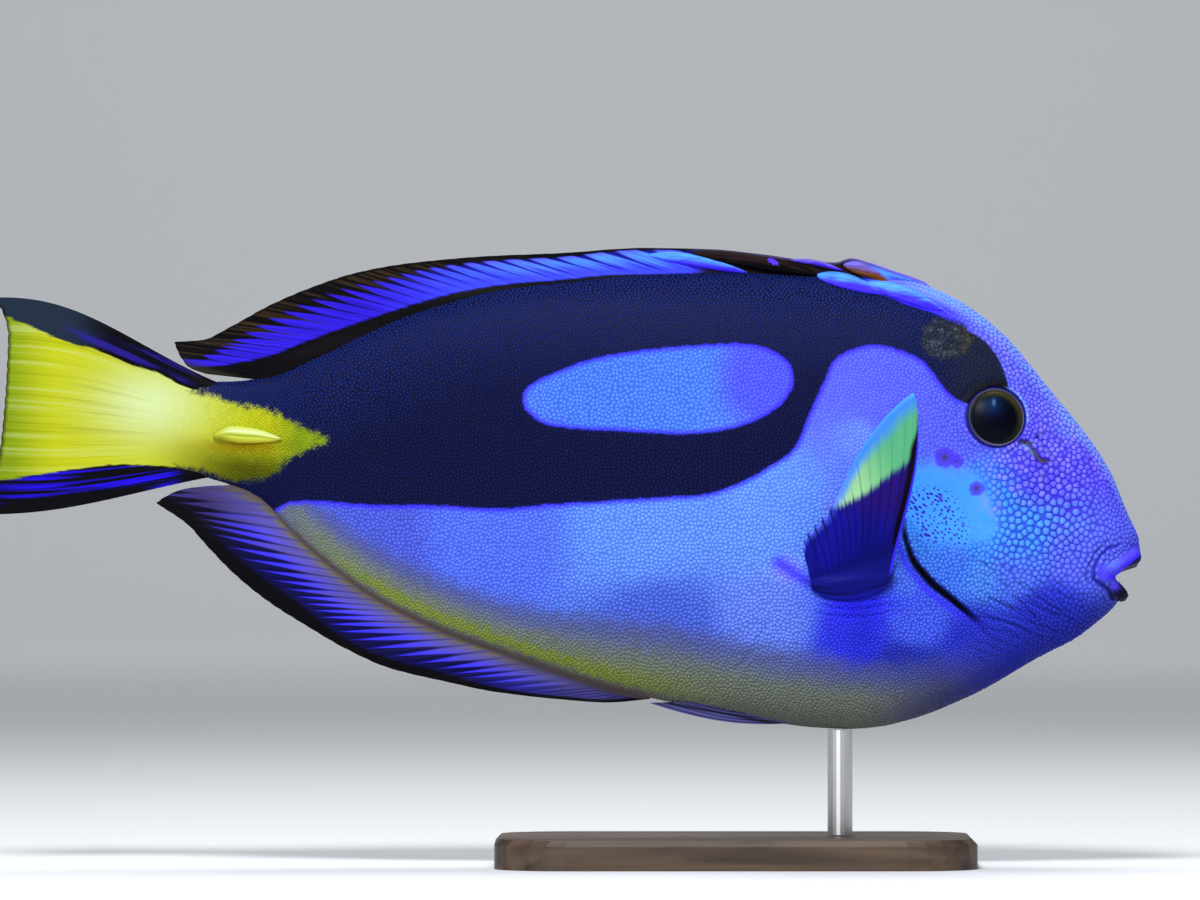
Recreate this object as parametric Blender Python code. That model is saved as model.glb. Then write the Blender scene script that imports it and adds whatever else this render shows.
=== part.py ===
"""Regal blue tang (Paracanthurus hepatus): a still, life-size model held by a plain display stand.

The fish faces +X, its right side is towards -Y, and +Z is up. The origin lies on the floor, under
the middle of the whole model. Sizes below are in millimetres and become metres when a mesh is made.
A point of a side outline is (x, z): x along the fish, z above the floor.
"""

import math

import bmesh
import bpy
import numpy as np
from mathutils import Matrix, Vector

MM = 0.001
GAP = 0.3  # clearance between neighbouring pieces

# Flesh: side outline, greatest half width at each x, and the form of its cross section
HALF_LENGTH = 117.3  # from the origin to the front of the lips, and to the tip of the tail
NOSE_X = 116.5
TAIL_ROOT_X = -70.6
PEDUNCLE_X = -53.5  # cut between torso and tail peduncle
BACK = [
    (TAIL_ROOT_X, 96.8), (-64.0, 96.9), (-57.0, 97.9), (-47.0, 102.2), (-28.8, 110.4),
    (-11.0, 115.2), (3.6, 117.0), (18.4, 118.2), (34.0, 118.7), (50.0, 117.9), (62.0, 117.5),
    (70.8, 116.9), (76.8, 114.8), (83.6, 111.0), (90.2, 105.6), (99.2, 94.8), (108.2, 83.4),
    (111.2, 78.4), (113.8, 71.8), (115.6, 66.0), (NOSE_X, 62.4),
]
BELLY = [
    (TAIL_ROOT_X, 78.0), (-63.0, 75.6), (-58.8, 73.4), (-52.2, 66.6), (-45.4, 60.4), (-37.6, 54.8),
    (-28.6, 49.8), (-8.4, 42.0), (13.4, 35.0), (25.6, 32.4), (37.2, 30.2), (45.4, 28.6),
    (52.0, 27.8), (59.0, 27.5), (65.0, 28.0), (71.0, 29.4), (83.6, 34.4), (97.0, 42.0),
    (103.6, 45.4), (109.0, 49.4), (111.6, 51.8), (113.2, 54.2), (115.4, 58.0), (NOSE_X, 61.2),
]
HALF_WIDTH = [
    (TAIL_ROOT_X, 2.5), (-60.0, 3.3), (-48.0, 4.7), (-30.0, 7.1), (0.0, 10.7), (30.0, 13.7),
    (50.0, 15.1), (66.0, 15.4), (76.0, 14.7), (86.0, 13.1), (96.0, 10.7), (104.0, 8.5),
    (110.0, 6.8), (113.6, 5.1), (115.6, 3.2), (NOSE_X, 1.4),
]
EDGE = 0.8  # half width of the flat keel along back and belly, where the fins stand
WIDEST_LEVEL = 0.44  # share of the body's depth, from below, where it is widest
TORSO_BACK_ROUNDING = 0.68  # 0.5 is an ellipse, 1 a sharp-edged lens
HEAD_BACK_ROUNDING = 0.58
HEAD_FORM_X = (58.0, 90.0)  # the cross section turns from torso to head between these
BELLY_ROUNDING = 0.60
FLANK_LEVELS = 19

# Gill opening: the line that parts head and torso, and the raised edge of the gill cover
GILL = [
    (88.4, 36.7), (87.0, 43.0), (84.0, 49.0), (79.6, 53.0), (74.8, 57.0), (70.8, 62.4),
    (69.2, 69.0), (70.2, 80.0), (71.4, 93.0), (71.4, 106.0), (70.8, 116.9),
]
GILL_LIFT = 0.8
GILL_LIFT_REACH = 7.0
GILL_DIP = 0.3
GILL_DIP_REACH = 3.0
GILL_LIFT_LEVELS = (44.0, 51.0, 76.0, 92.0)  # grows between the first two, fades between the last

# Eye: a flattened ball, its socket, and the low skin rim round it
EYE_AT = (87.9, 89.7)
EYE_RADIUS = 7.0  # of the whole ball: 5.8 shows within the rim
EYE_DEPTH = 4.2
EYE_PROUD = 1.8
RIM_RADIUS = 6.7
RIM_THICKNESS = 0.6

# Mouth: the gap between the jaws, and a lip along each edge of it
MOUTH_GAP = [
    (119.0, 60.0), (114.4, 59.5), (112.4, 58.9), (111.0, 57.7), (112.4, 56.9), (114.0, 56.5),
    (119.0, 56.5),
]
MOUTH_HALF_SPAN = 9.0
LIP_RADIUS = 1.3
LIP_SINK = 0.25
UPPER_LIP = ((110.4, 58.9), (HALF_LENGTH - LIP_RADIUS, 61.5))  # corner of the mouth, and front
LOWER_LIP = ((110.0, 56.2), (113.3, 55.4))

# Nostrils: a groove that runs forward and down from the eye, and two pores above it
NOSTRIL_GROOVE = ((92.8, 84.0), (98.6, 80.7))
GROOVE_RADIUS = 0.8
NOSTRIL_PORES = ((96.0, 85.8, 0.6), (98.0, 84.2, 0.45))  # x, z, radius

# Fins: ray counts, and the outer edges from front to rear
FIN_EDGE = 0.26  # half thickness of a membrane at its outer edge
MEMBRANE = 0.42  # half thickness of a membrane near its root
RAY_RIDGE = 0.30  # height of a ray over the membrane
RAY_SHARE = 0.30  # half width of a ridge, as a share of the distance between rays
SCALLOP = 0.022  # how far the edge of a membrane falls back between rays, as a share of their length

DORSAL_RAYS = 28
DORSAL_ROOT_X = (70.2, -57.0)
DORSAL_EDGE = [
    (-76.2, 104.8), (-70.6, 105.2), (-65.4, 107.6), (-57.4, 112.0), (-49.6, 115.4), (-39.2, 118.8),
    (-28.8, 120.6), (-13.0, 122.0), (1.0, 122.6), (18.4, 123.6), (30.0, 123.4), (41.8, 122.4),
    (51.2, 121.8), (60.4, 121.2), (65.0, 119.9), (70.4, 117.9),
]
DORSAL_SWEEP = [(0.0, 4.0), (0.1, 9.0), (0.5, 9.0), (0.75, 13.0), (0.93, 27.9)]
DORSAL_TAIL_EDGE = [(0.93, -76.2, 104.8), (0.955, -75.2, 102.4), (0.98, -73.2, 99.8), (1.0, -69.8, 98.5)]

ANAL_RAYS = 21
ANAL_ROOT_X = (18.0, -62.6)
ANAL_EDGE = [
    (-79.8, 72.6), (-73.4, 68.2), (-69.6, 64.0), (-64.6, 58.8), (-57.8, 53.2), (-50.0, 48.2),
    (-42.2, 43.6), (-33.2, 39.6), (-22.4, 37.0), (-11.8, 34.8), (1.0, 33.4), (10.0, 32.8),
    (16.5, 33.2),
]
ANAL_SWEEP = [(0.0, 2.5), (0.12, 8.0), (0.5, 11.0), (0.8, 17.0), (0.9, 25.26)]
ANAL_TAIL_EDGE = [(0.9, -79.8, 72.6), (0.93, -78.2, 73.7), (0.97, -74.6, 75.2), (1.0, -70.8, 75.7)]

CAUDAL_RAYS = 18
CAUDAL_TIPS = [
    (70.3, -HALF_LENGTH), (73.0, -114.8), (77.0, -112.7), (83.0, -111.1), (90.0, -110.3), (98.0, -109.7),
    (106.0, -109.4), (111.0, -110.6), (113.7, -113.4),
]
CAUDAL_UPPER_BOW = 3.8
CAUDAL_LOWER_BOW = -1.7
CAUDAL_BOW_LATENESS = 1.5
CAUDAL_SINK = 0.2  # share of the fin's length over which the tail flesh thins to membrane

PECTORAL_RAYS = 15
PECTORAL_FRONT = (66.6, 57.8)
PECTORAL_REAR = (51.0, 56.6)
PECTORAL_TIPS = [
    (0.0, 71.8, 94.6), (0.12, 67.8, 90.4), (0.26, 63.0, 85.0), (0.38, 59.6, 80.4),
    (0.50, 57.0, 75.6), (0.62, 54.8, 72.0), (0.76, 51.6, 68.4), (0.90, 49.4, 65.4), (1.0, 49.4, 62.6),
]
PECTORAL_SPREAD = 0.88  # how far the fin stands out from the flank, for each unit that it rises
PECTORAL_FORWARD_BOW = 2.2
PECTORAL_OUTWARD_BOW = 2.0
PECTORAL_ROOT_HALF = 1.5
PECTORAL_SINK = 0.16

PELVIC_RAYS = 4
PELVIC_ROOT_X = (50.6, 44.4)
PELVIC_TIP = (19.0, 32.6)
PELVIC_INNER_TIP_X = 28.0
PELVIC_SAG = 1.9
PELVIC_OFFSET = 1.35
PELVIC_SPLAY = 0.9

# Caudal spine: the blade on each side of the tail, its point forward
SPINE_LOWER = [(-68.2, 85.6), (-62.0, 84.6), (-57.0, 84.8), (-54.6, 85.3)]
SPINE_UPPER = [(-68.2, 86.6), (-64.6, 88.1), (-60.0, 87.6), (-56.8, 86.6), (-54.6, 85.6)]
SPINE_THICKNESS = 1.5

# Stand
BASE_CENTRE_X = 36.0
BASE_LENGTH = 96.0
BASE_WIDTH = 62.0
BASE_HEIGHT = 6.0
BASE_CORNER = 14.0
BASE_BEVEL = 1.2
ROD_X = 57.0
ROD_RADIUS = 2.5
ROD_SIDES = 20


def smooth(points):
    """A smooth function through (x, y) points that never overshoots them."""
    knots, values = np.array(sorted(points), float).T
    steps = np.diff(knots)
    rises = np.diff(values) / steps
    slopes = np.concatenate([rises[:1], np.zeros(len(knots) - 2), rises[-1:]])
    for k in range(1, len(knots) - 1):
        if rises[k - 1] * rises[k] > 0:
            before, after = 2 * steps[k] + steps[k - 1], steps[k] + 2 * steps[k - 1]
            slopes[k] = (before + after) / (before / rises[k - 1] + after / rises[k])

    def value(at):
        at = np.clip(at, knots[0], knots[-1])
        k = np.clip(np.searchsorted(knots, at) - 1, 0, len(steps) - 1)
        t = (at - knots[k]) / steps[k]
        ends = values[k] * (1 + 2 * t) * (1 - t) ** 2 + values[k + 1] * t**2 * (3 - 2 * t)
        return ends + steps[k] * (slopes[k] * t * (1 - t) ** 2 - slopes[k + 1] * t**2 * (1 - t))

    return value


def path(points):
    """A smooth curve through rows of (parameter, x, z), as two functions of the parameter."""
    return smooth([(t, x) for t, x, z in points]), smooth([(t, z) for t, x, z in points])


back = smooth(BACK)
belly = smooth(BELLY)
widest = smooth(HALF_WIDTH)
gill = smooth([(z, x) for x, z in GILL])


def ramp(value, start, end):
    """0 before start, 1 after end, with a soft turn at both."""
    t = np.clip((value - start) / (end - start), 0, 1)
    return t * t * (3 - 2 * t)


def flesh_half_width(x, z):
    """Half width of the smooth body at a point of its side view."""
    level = np.clip((z - belly(x)) / (back(x) - belly(x)), 0, 1)
    above = level > WIDEST_LEVEL
    away = np.where(above, (level - WIDEST_LEVEL) / (1 - WIDEST_LEVEL), 1 - level / WIDEST_LEVEL)
    back_rounding = TORSO_BACK_ROUNDING + (HEAD_BACK_ROUNDING - TORSO_BACK_ROUNDING) * ramp(x, *HEAD_FORM_X)
    rounding = np.where(above, back_rounding, BELLY_ROUNDING)
    return EDGE + (widest(x) - EDGE) * (1 - away**2) ** rounding


def gill_levels(z):
    """1 where the gill cover is free, 0 above and below it."""
    start, full, fade, end = GILL_LIFT_LEVELS
    return ramp(z, start, full) * (1 - ramp(z, fade, end))


def head_half_width(x, z):
    """The head swells a little towards the free edge of the gill cover."""
    ahead = (x - gill(z)) / GILL_LIFT_REACH
    return flesh_half_width(x, z) + GILL_LIFT * gill_levels(z) * np.exp(-(ahead**2))


def torso_half_width(x, z):
    """The torso dips a little under the free edge of the gill cover."""
    behind = (x - gill(z)) / GILL_DIP_REACH
    return flesh_half_width(x, z) - GILL_DIP * gill_levels(z) * np.exp(-(behind**2))


def material(name, colour, roughness, metallic=0.0):
    """A plain Principled material."""
    made = bpy.data.materials.new(name)
    made.use_nodes = True
    shader = made.node_tree.nodes["Principled BSDF"]
    shader.inputs["Base Color"].default_value = (*colour, 1.0)
    shader.inputs["Roughness"].default_value = roughness
    shader.inputs["Metallic"].default_value = metallic
    return made


def mesh_object(name, points, faces, look):
    """A named object from points in millimetres, with its faces turned outwards."""
    mesh = bpy.data.meshes.new(name)
    mesh.from_pydata([tuple(point) for point in np.asarray(points, float) * MM], [], faces)
    work = bmesh.new()
    work.from_mesh(mesh)
    bmesh.ops.recalc_face_normals(work, faces=work.faces)
    work.to_mesh(mesh)
    work.free()
    mesh.materials.append(look)
    made = bpy.data.objects.new(name, mesh)
    bpy.context.scene.collection.objects.link(made)
    return made


def sandwich(name, near, far, look):
    """A closed solid from two matching grids of points, split alike, with a rim round their edges."""
    rows, columns = near.shape[:2]
    index = np.arange(rows * columns).reshape(rows, columns)
    a, b = index[:-1, :-1].ravel(), index[1:, :-1].ravel()
    c, d = index[1:, 1:].ravel(), index[:-1, 1:].ravel()
    ring = np.concatenate([index[0, :], index[1:, -1], index[-1, -2::-1], index[-2:0:-1, 0]])
    after = np.roll(ring, -1)
    other = rows * columns
    triangles = np.concatenate([
        np.stack([a, b, c], 1),
        np.stack([a, c, d], 1),
        np.stack([a, c, b], 1) + other,
        np.stack([a, d, c], 1) + other,
        np.stack([ring, after, after + other], 1),
        np.stack([ring, after + other, ring + other], 1),
    ])
    points = np.concatenate([near.reshape(-1, 3), far.reshape(-1, 3)])
    return mesh_object(name, points, triangles.tolist(), look)


def flank_levels(count):
    """Levels from belly to back, closer together towards both."""
    even = np.linspace(0, 1, count)
    return 0.45 * even + 0.55 * (1 - np.cos(math.pi * even)) / 2


def gill_line(levels, offset):
    """Points of the gill opening, moved along the fish by an offset, and their relative depth."""
    low, high = GILL[0], GILL[-1]
    bottom, top = belly(low[0]), back(high[0])
    z = bottom + (top - bottom) * levels
    slope = (gill(z + 0.05) - gill(z - 0.05)) / 0.1
    x = gill(z) + offset * np.sqrt(1 + slope**2)
    depth = (z - belly(x)) / (back(x) - belly(x))
    depth[0], depth[-1] = 0.0, 1.0
    return x, depth


def flesh(name, rear, front, shares, half_width, look):
    """A length of body between two section lines, each given as x and relative depth by level."""
    (rear_x, rear_depth), (front_x, front_depth) = rear, front
    share = np.asarray(shares)[:, None]
    x = rear_x * (1 - share) + front_x * share
    depth = rear_depth * (1 - share) + front_depth * share
    z = belly(x) + (back(x) - belly(x)) * depth
    y = half_width(x, z)
    y[:, 0] = y[:, -1] = EDGE
    y = np.minimum(y, widest(x) + GILL_LIFT)
    return sandwich(name, np.stack([x, -y, z], 2), np.stack([x, y, z], 2), look)


def straight_line(x, levels):
    """A section line straight across the body."""
    return np.full_like(levels, x), levels


def make_peduncle(look):
    """The narrow part of the tail, between the torso and the caudal fin."""
    levels = flank_levels(FLANK_LEVELS)
    rear = straight_line(TAIL_ROOT_X, levels)
    front = straight_line(PEDUNCLE_X - GAP / 2, levels)
    return flesh("tail_peduncle", rear, front, np.linspace(0, 1, 8), flesh_half_width, look)


def make_torso(look):
    """The body from the gill opening to the tail peduncle."""
    levels = flank_levels(FLANK_LEVELS)
    rear = straight_line(PEDUNCLE_X + GAP / 2, levels)
    front = gill_line(levels, -GAP / 2)
    shares = 1 - (1 - np.linspace(0, 1, 25)) ** 1.15
    return flesh("torso", rear, front, shares, torso_half_width, look)


def surface_frame(x, z, side):
    """A point on the head's surface and its outward normal; side is -1 right and 1 left."""
    step = 0.5
    y = head_half_width(x, z)
    along = (head_half_width(x + step, z) - head_half_width(x - step, z)) / (2 * step)
    up = (head_half_width(x, z + step) - head_half_width(x, z - step)) / (2 * step)
    normal = Vector((-along, side, -up)).normalized()
    return Vector((x, side * y, z)), normal


def eyeball(name, side, extra, look):
    """A flattened ball in the head's side, grown by an extra clearance."""
    at, normal = surface_frame(*EYE_AT, side)
    centre = at + normal * (EYE_PROUD - EYE_DEPTH)
    work = bmesh.new()
    bmesh.ops.create_uvsphere(work, u_segments=20, v_segments=8, radius=1.0)
    size = Matrix.Diagonal((EYE_RADIUS + extra, EYE_RADIUS + extra, EYE_DEPTH + extra, 1.0))
    turn = Vector((0, 0, 1)).rotation_difference(normal).to_matrix().to_4x4()
    bmesh.ops.transform(work, matrix=Matrix.Translation(centre) @ turn @ size, verts=work.verts)
    points = [vert.co[:] for vert in work.verts]
    faces = [[vert.index for vert in face.verts] for face in work.faces]
    work.free()
    return mesh_object(name, points, faces, look)


def tube(name, line, radii, sides, look):
    """A closed tube with tapering ends along a line of points."""
    line = [Vector(point) for point in line]
    points, faces = [], []
    for k, centre in enumerate(line):
        ahead = (line[min(k + 1, len(line) - 1)] - line[max(k - 1, 0)]).normalized()
        across = ahead.cross(Vector((0, 0, 1))).normalized()
        up = across.cross(ahead)
        for turn in np.linspace(0, 2 * math.pi, sides, endpoint=False):
            points.append(centre + radii[k] * (math.cos(turn) * across + math.sin(turn) * up))
    for k in range(len(line) - 1):
        for j in range(sides):
            here, following = k * sides + j, k * sides + (j + 1) % sides
            faces.append((here, following, following + sides, here + sides))
    last = (len(line) - 1) * sides
    faces.append(tuple(range(sides)))
    faces.append(tuple(range(last, last + sides)))
    return mesh_object(name, points, faces, look)


def eye_rim(name, side, look):
    """A low ring of skin round the eye."""
    at, normal = surface_frame(*EYE_AT, side)
    forward = Vector((1, 0, 0)).cross(normal).normalized()
    up = normal.cross(forward)
    segments, sides = 24, 6
    points, faces = [], []
    for turn in np.linspace(0, 2 * math.pi, segments, endpoint=False):
        out = math.cos(turn) * forward + math.sin(turn) * up
        foot = at + RIM_RADIUS * out
        foot.y = side * head_half_width(foot.x, foot.z)
        for bend in np.linspace(0, 2 * math.pi, sides, endpoint=False):
            points.append(foot + RIM_THICKNESS * (math.cos(bend) * out + math.sin(bend) * normal))
    for k in range(segments):
        for j in range(sides):
            near, far = k * sides, (k + 1) % segments * sides
            right = (j + 1) % sides
            faces.append((near + j, far + j, far + right, near + right))
    return mesh_object(name, points, faces, look)


def lip(name, corner, front, look):
    """A lip that runs from one corner of the mouth round the front to the other."""
    line, radii = [], []
    for turn in np.linspace(-1, 1, 13):
        share = math.cos(turn * math.pi / 2)
        x = corner[0] + (front[0] - corner[0]) * share
        z = corner[1] + (front[1] - corner[1]) * share
        y = np.sign(round(turn, 3)) * (head_half_width(x, z) - LIP_SINK)
        line.append((x, y, z))
        radii.append(LIP_RADIUS * (0.5 + 0.5 * share))
    return tube(name, line, radii, 8, look)


def mouth_gap(look):
    """The wedge of space between the jaws."""
    count = len(MOUTH_GAP)
    points = [(x, side * MOUTH_HALF_SPAN, z) for side in (-1, 1) for x, z in MOUTH_GAP]
    faces = [tuple(range(count)), tuple(range(2 * count - 1, count - 1, -1))]
    for k in range(count):
        after = (k + 1) % count
        faces.append((k, after, after + count, k + count))
    return mesh_object("mouth_gap", points, faces, look)


def nostril_groove(side, look):
    """A spindle sunk half way into the skin along the groove in front of the eye."""
    line, radii = [], []
    for share in np.linspace(0, 1, 6):
        x, z = (1 - share) * np.array(NOSTRIL_GROOVE[0]) + share * np.array(NOSTRIL_GROOVE[1])
        at, normal = surface_frame(x, z, side)
        line.append(at + 0.15 * normal)
        radii.append(GROOVE_RADIUS * (0.45 + 0.55 * math.sin(math.pi * share)))
    return tube("groove", line, radii, 7, look)


def nostril_pore(x, z, radius, side, look):
    """A short pin that cuts a round pore."""
    at, normal = surface_frame(x, z, side)
    return tube("pore", [at - 1.3 * normal, at + 1.0 * normal], [radius, radius], 8, look)


def largest_surface(mesh):
    """Deletes all but the largest closed surface of a mesh."""
    work = bmesh.new()
    work.from_mesh(mesh)
    unseen = set(work.faces)
    groups = []
    while unseen:
        reached = [unseen.pop()]
        for face in reached:
            for edge in face.edges:
                for neighbour in edge.link_faces:
                    if neighbour in unseen:
                        unseen.remove(neighbour)
                        reached.append(neighbour)
        groups.append(reached)
    groups.sort(key=lambda faces: sum(face.calc_area() for face in faces))
    spare = [face for faces in groups[:-1] for face in faces]
    bmesh.ops.delete(work, geom=spare, context="FACES")
    bmesh.ops.triangulate(work, faces=work.faces)
    work.to_mesh(mesh)
    work.free()


def combine(target, pieces, operation):
    """Joins pieces to an object, or cuts them from it, and removes them."""
    group = bpy.data.collections.new(target.name + "_" + operation.lower())
    for piece in pieces:
        bpy.context.scene.collection.objects.unlink(piece)
        group.objects.link(piece)
    bpy.context.scene.collection.children.link(group)
    step = target.modifiers.new(operation, "BOOLEAN")
    step.operation = operation
    step.operand_type = "COLLECTION"
    step.collection = group
    step.solver = "EXACT"
    whole = target.evaluated_get(bpy.context.evaluated_depsgraph_get())
    mesh = bpy.data.meshes.new_from_object(whole)
    target.modifiers.clear()
    target.data = mesh
    for piece in pieces:
        bpy.data.objects.remove(piece)
    bpy.data.collections.remove(group)
    largest_surface(target.data)


def make_head(look, dark):
    """The head with its gill covers, eye sockets and rims, nostrils, lips and open mouth."""
    levels = flank_levels(FLANK_LEVELS)
    rear = gill_line(levels, GAP / 2)
    front = straight_line(NOSE_X, levels)
    shares = 1 - (1 - np.linspace(0, 1, 22)) ** 1.7
    head = flesh("head", rear, front, shares, head_half_width, look)
    raised = [eye_rim("rim", side, look) for side in (-1, 1)]
    raised.append(lip("upper_lip", *UPPER_LIP, look))
    raised.append(lip("lower_lip", *LOWER_LIP, look))
    combine(head, raised, "UNION")
    cutters = [mouth_gap(dark)]
    for side in (-1, 1):
        cutters.append(eyeball("socket", side, GAP, dark))
        cutters.append(nostril_groove(side, dark))
        cutters.extend(nostril_pore(*pore, side, dark) for pore in NOSTRIL_PORES)
    combine(head, cutters, "DIFFERENCE")
    return head


def ray_columns(count):
    """Places across a fin, from 0 to 1, and how much of a ray's ridge stands at each."""
    places, ridges = [0.0], [0.0]
    for k in range(count):
        middle = (k + 0.5) / count
        for step, ridge in ((-RAY_SHARE, 0.0), (0.0, 1.0), (RAY_SHARE, 0.0)):
            places.append(middle + step / count)
            ridges.append(ridge)
    places.append(1.0)
    ridges.append(0.0)
    return np.array(places)[:, None], np.array(ridges)[:, None]


def reach(ridges, rows):
    """Places along each ray, from root to tip, a little short of the edge between rays."""
    between = 1 - ridges
    between[[0, -1]] = 0.0
    return np.array(rows)[None, :] * (1 - SCALLOP * between)


def fin_faces(middle, half):
    """The two faces of a membrane, half a thickness to each side of its middle surface."""
    across = np.gradient(middle, axis=0)
    along = np.gradient(middle, axis=1)
    normal = np.cross(across, along)
    normal /= np.linalg.norm(normal, axis=2, keepdims=True)
    return middle + normal * half[:, :, None], middle - normal * half[:, :, None]


def thickness(root, v, ridges, sink):
    """Half thickness from a fleshy root to the thin outer edge, with the rays' ridges added."""
    membrane = MEMBRANE + (FIN_EDGE - MEMBRANE) * v
    fleshy = 1 - ramp(v, 0, sink)
    rays = RAY_RIDGE * ridges * (1 - 0.55 * v) * ramp(v, 0, sink)
    return membrane + (root - membrane) * fleshy + rays


def median_fin(name, ray_count, root_x, profile, clearance, edge, sweep, tail_edge, look):
    """A fin along the back or the belly: the rays lean back, and the last ones end on its rear edge."""
    s, ridges = ray_columns(ray_count)
    v = reach(ridges, (0, 0.18, 0.45, 0.74, 1))
    foot_x = root_x[0] + (root_x[1] - root_x[0]) * s
    foot_z = profile(foot_x) + clearance
    tip_x = foot_x - smooth(sweep)(s)
    tip_z = smooth(edge)(tip_x)
    turn = tail_edge[0][0]
    tail_x, tail_z = path(tail_edge)
    tip_x = np.where(s > turn, tail_x(s), tip_x)
    tip_z = np.where(s > turn, tail_z(s), tip_z)
    x = foot_x + (tip_x - foot_x) * v
    z = foot_z + (tip_z - foot_z) * v
    half = thickness(EDGE, v, ridges, 0.3)
    near, far = fin_faces(np.stack([x, np.zeros_like(x), z], 2), half)
    return sandwich(name, near, far, look)


def make_caudal_fin(look):
    """The tail fin: its rays fan out from the end of the tail peduncle."""
    s, ridges = ray_columns(CAUDAL_RAYS)
    v = reach(ridges, (0, 0.07, 0.18, 0.36, 0.57, 0.78, 1))
    bottom, top = belly(TAIL_ROOT_X), back(TAIL_ROOT_X)
    foot_x = TAIL_ROOT_X - GAP
    foot_z = bottom + (top - bottom) * s
    low, high = CAUDAL_TIPS[0][0], CAUDAL_TIPS[-1][0]
    tip_z = low + (high - low) * s
    tip_x = smooth(CAUDAL_TIPS)(tip_z)
    bend = np.sin(math.pi * v**CAUDAL_BOW_LATENESS)
    x = foot_x + (tip_x - foot_x) * v
    z = foot_z + (tip_z - foot_z) * v + bend * (CAUDAL_UPPER_BOW * s**2 + CAUDAL_LOWER_BOW * (1 - s) ** 2)
    half = thickness(flesh_half_width(TAIL_ROOT_X, foot_z), v, ridges, CAUDAL_SINK)
    near, far = fin_faces(np.stack([x, np.zeros_like(x), z], 2), half)
    return sandwich("caudal_fin", near, far, look)


def make_pectoral_fin(name, side, look):
    """The raised fin behind the gill cover: it stands out and up from a level root."""
    s, ridges = ray_columns(PECTORAL_RAYS)
    v = reach(ridges, (0, 0.1, 0.28, 0.52, 0.77, 1))
    foot_x = PECTORAL_FRONT[0] + (PECTORAL_REAR[0] - PECTORAL_FRONT[0]) * s
    foot_z = PECTORAL_FRONT[1] + (PECTORAL_REAR[1] - PECTORAL_FRONT[1]) * s
    flank = torso_half_width(foot_x, foot_z) + GAP
    tip_x, tip_z = (axis(s) for axis in path(PECTORAL_TIPS))
    bow = np.sin(math.pi * v)
    length = (tip_z - foot_z) / (PECTORAL_TIPS[0][2] - PECTORAL_FRONT[1])
    x = foot_x + (tip_x - foot_x) * v + PECTORAL_FORWARD_BOW * bow * length
    z = foot_z + (tip_z - foot_z) * v
    y = flank + PECTORAL_SPREAD * (z - foot_z) + PECTORAL_OUTWARD_BOW * bow * length
    half = thickness(PECTORAL_ROOT_HALF, v, ridges, PECTORAL_SINK)
    near, far = fin_faces(np.stack([x, side * y, z], 2), half)
    for face in (near, far):
        face[:, 0, 1] = side * (torso_half_width(face[:, 0, 0], face[:, 0, 2]) + GAP)
    return sandwich(name, near, far, look)


def make_pelvic_fin(name, side, look):
    """One of the pair of fins folded back along the belly, its spine along the lower edge."""
    s, ridges = ray_columns(PELVIC_RAYS)
    v = reach(ridges, (0, 0.2, 0.5, 0.78, 1))
    foot_x = PELVIC_ROOT_X[0] + (PELVIC_ROOT_X[1] - PELVIC_ROOT_X[0]) * s
    foot_z = belly(foot_x) - GAP
    tip_x = PELVIC_TIP[0] + (PELVIC_INNER_TIP_X - PELVIC_TIP[0]) * s
    tip_z = PELVIC_TIP[1] + (belly(PELVIC_INNER_TIP_X) - 2 * GAP - PELVIC_TIP[1]) * s
    x = foot_x + (tip_x - foot_x) * v
    z = foot_z + (tip_z - foot_z) * v - PELVIC_SAG * (1 - s) * np.sin(math.pi * v)
    y = PELVIC_OFFSET + PELVIC_SPLAY * v + 0 * s
    half = thickness(MEMBRANE, v, ridges, 0.2)
    near, far = fin_faces(np.stack([x, side * y, z], 2), half)
    return sandwich(name, near, far, look)


def make_caudal_spine(name, side, look):
    """The blade on the side of the tail: thick along its middle, thin at its edges and point."""
    share = np.linspace(0, 1, 9)[:, None]
    across = np.linspace(0, 1, 5)[None, :]
    rear, point = SPINE_UPPER[0][0], SPINE_UPPER[-1][0]
    x = rear + (point - rear) * share
    low, high = smooth(SPINE_LOWER)(x), smooth(SPINE_UPPER)(x)
    z = low + (high - low) * across
    x = x + 0 * z
    body = np.sin(math.pi * across) ** 0.7 * (1 - 0.75 * share) * ramp(share, -0.15, 0.15)
    inner = flesh_half_width(x, z) + GAP
    outer = inner + 0.25 + SPINE_THICKNESS * body
    return sandwich(name, np.stack([x, side * outer, z], 2), np.stack([x, side * inner, z], 2), look)


def make_base(look):
    """A flat plate with round corners and a bevelled top edge."""
    outline = []
    for corner, (sx, sy) in enumerate(((1, 1), (-1, 1), (-1, -1), (1, -1))):
        for turn in np.linspace(0, math.pi / 2, 7):
            angle = corner * math.pi / 2 + turn
            outline.append((
                sx * (BASE_LENGTH / 2 - BASE_CORNER) + BASE_CORNER * math.cos(angle),
                sy * (BASE_WIDTH / 2 - BASE_CORNER) + BASE_CORNER * math.sin(angle),
            ))
    outline = np.array(outline)
    lengths = np.linalg.norm(outline, axis=1, keepdims=True)
    top = outline - outline / lengths * BASE_BEVEL
    rings = ((outline, 0.0), (outline, BASE_HEIGHT - BASE_BEVEL), (top, BASE_HEIGHT))
    count = len(outline)
    points = [(BASE_CENTRE_X + x, y, z) for ring, z in rings for x, y in ring]
    faces = [tuple(range(count)), tuple(range(2 * count, 3 * count))]
    for level in (0, count):
        for k in range(count):
            after = (k + 1) % count
            faces.append((level + k, level + after, level + count + after, level + count + k))
    return mesh_object("stand_base", points, faces, look)


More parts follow.
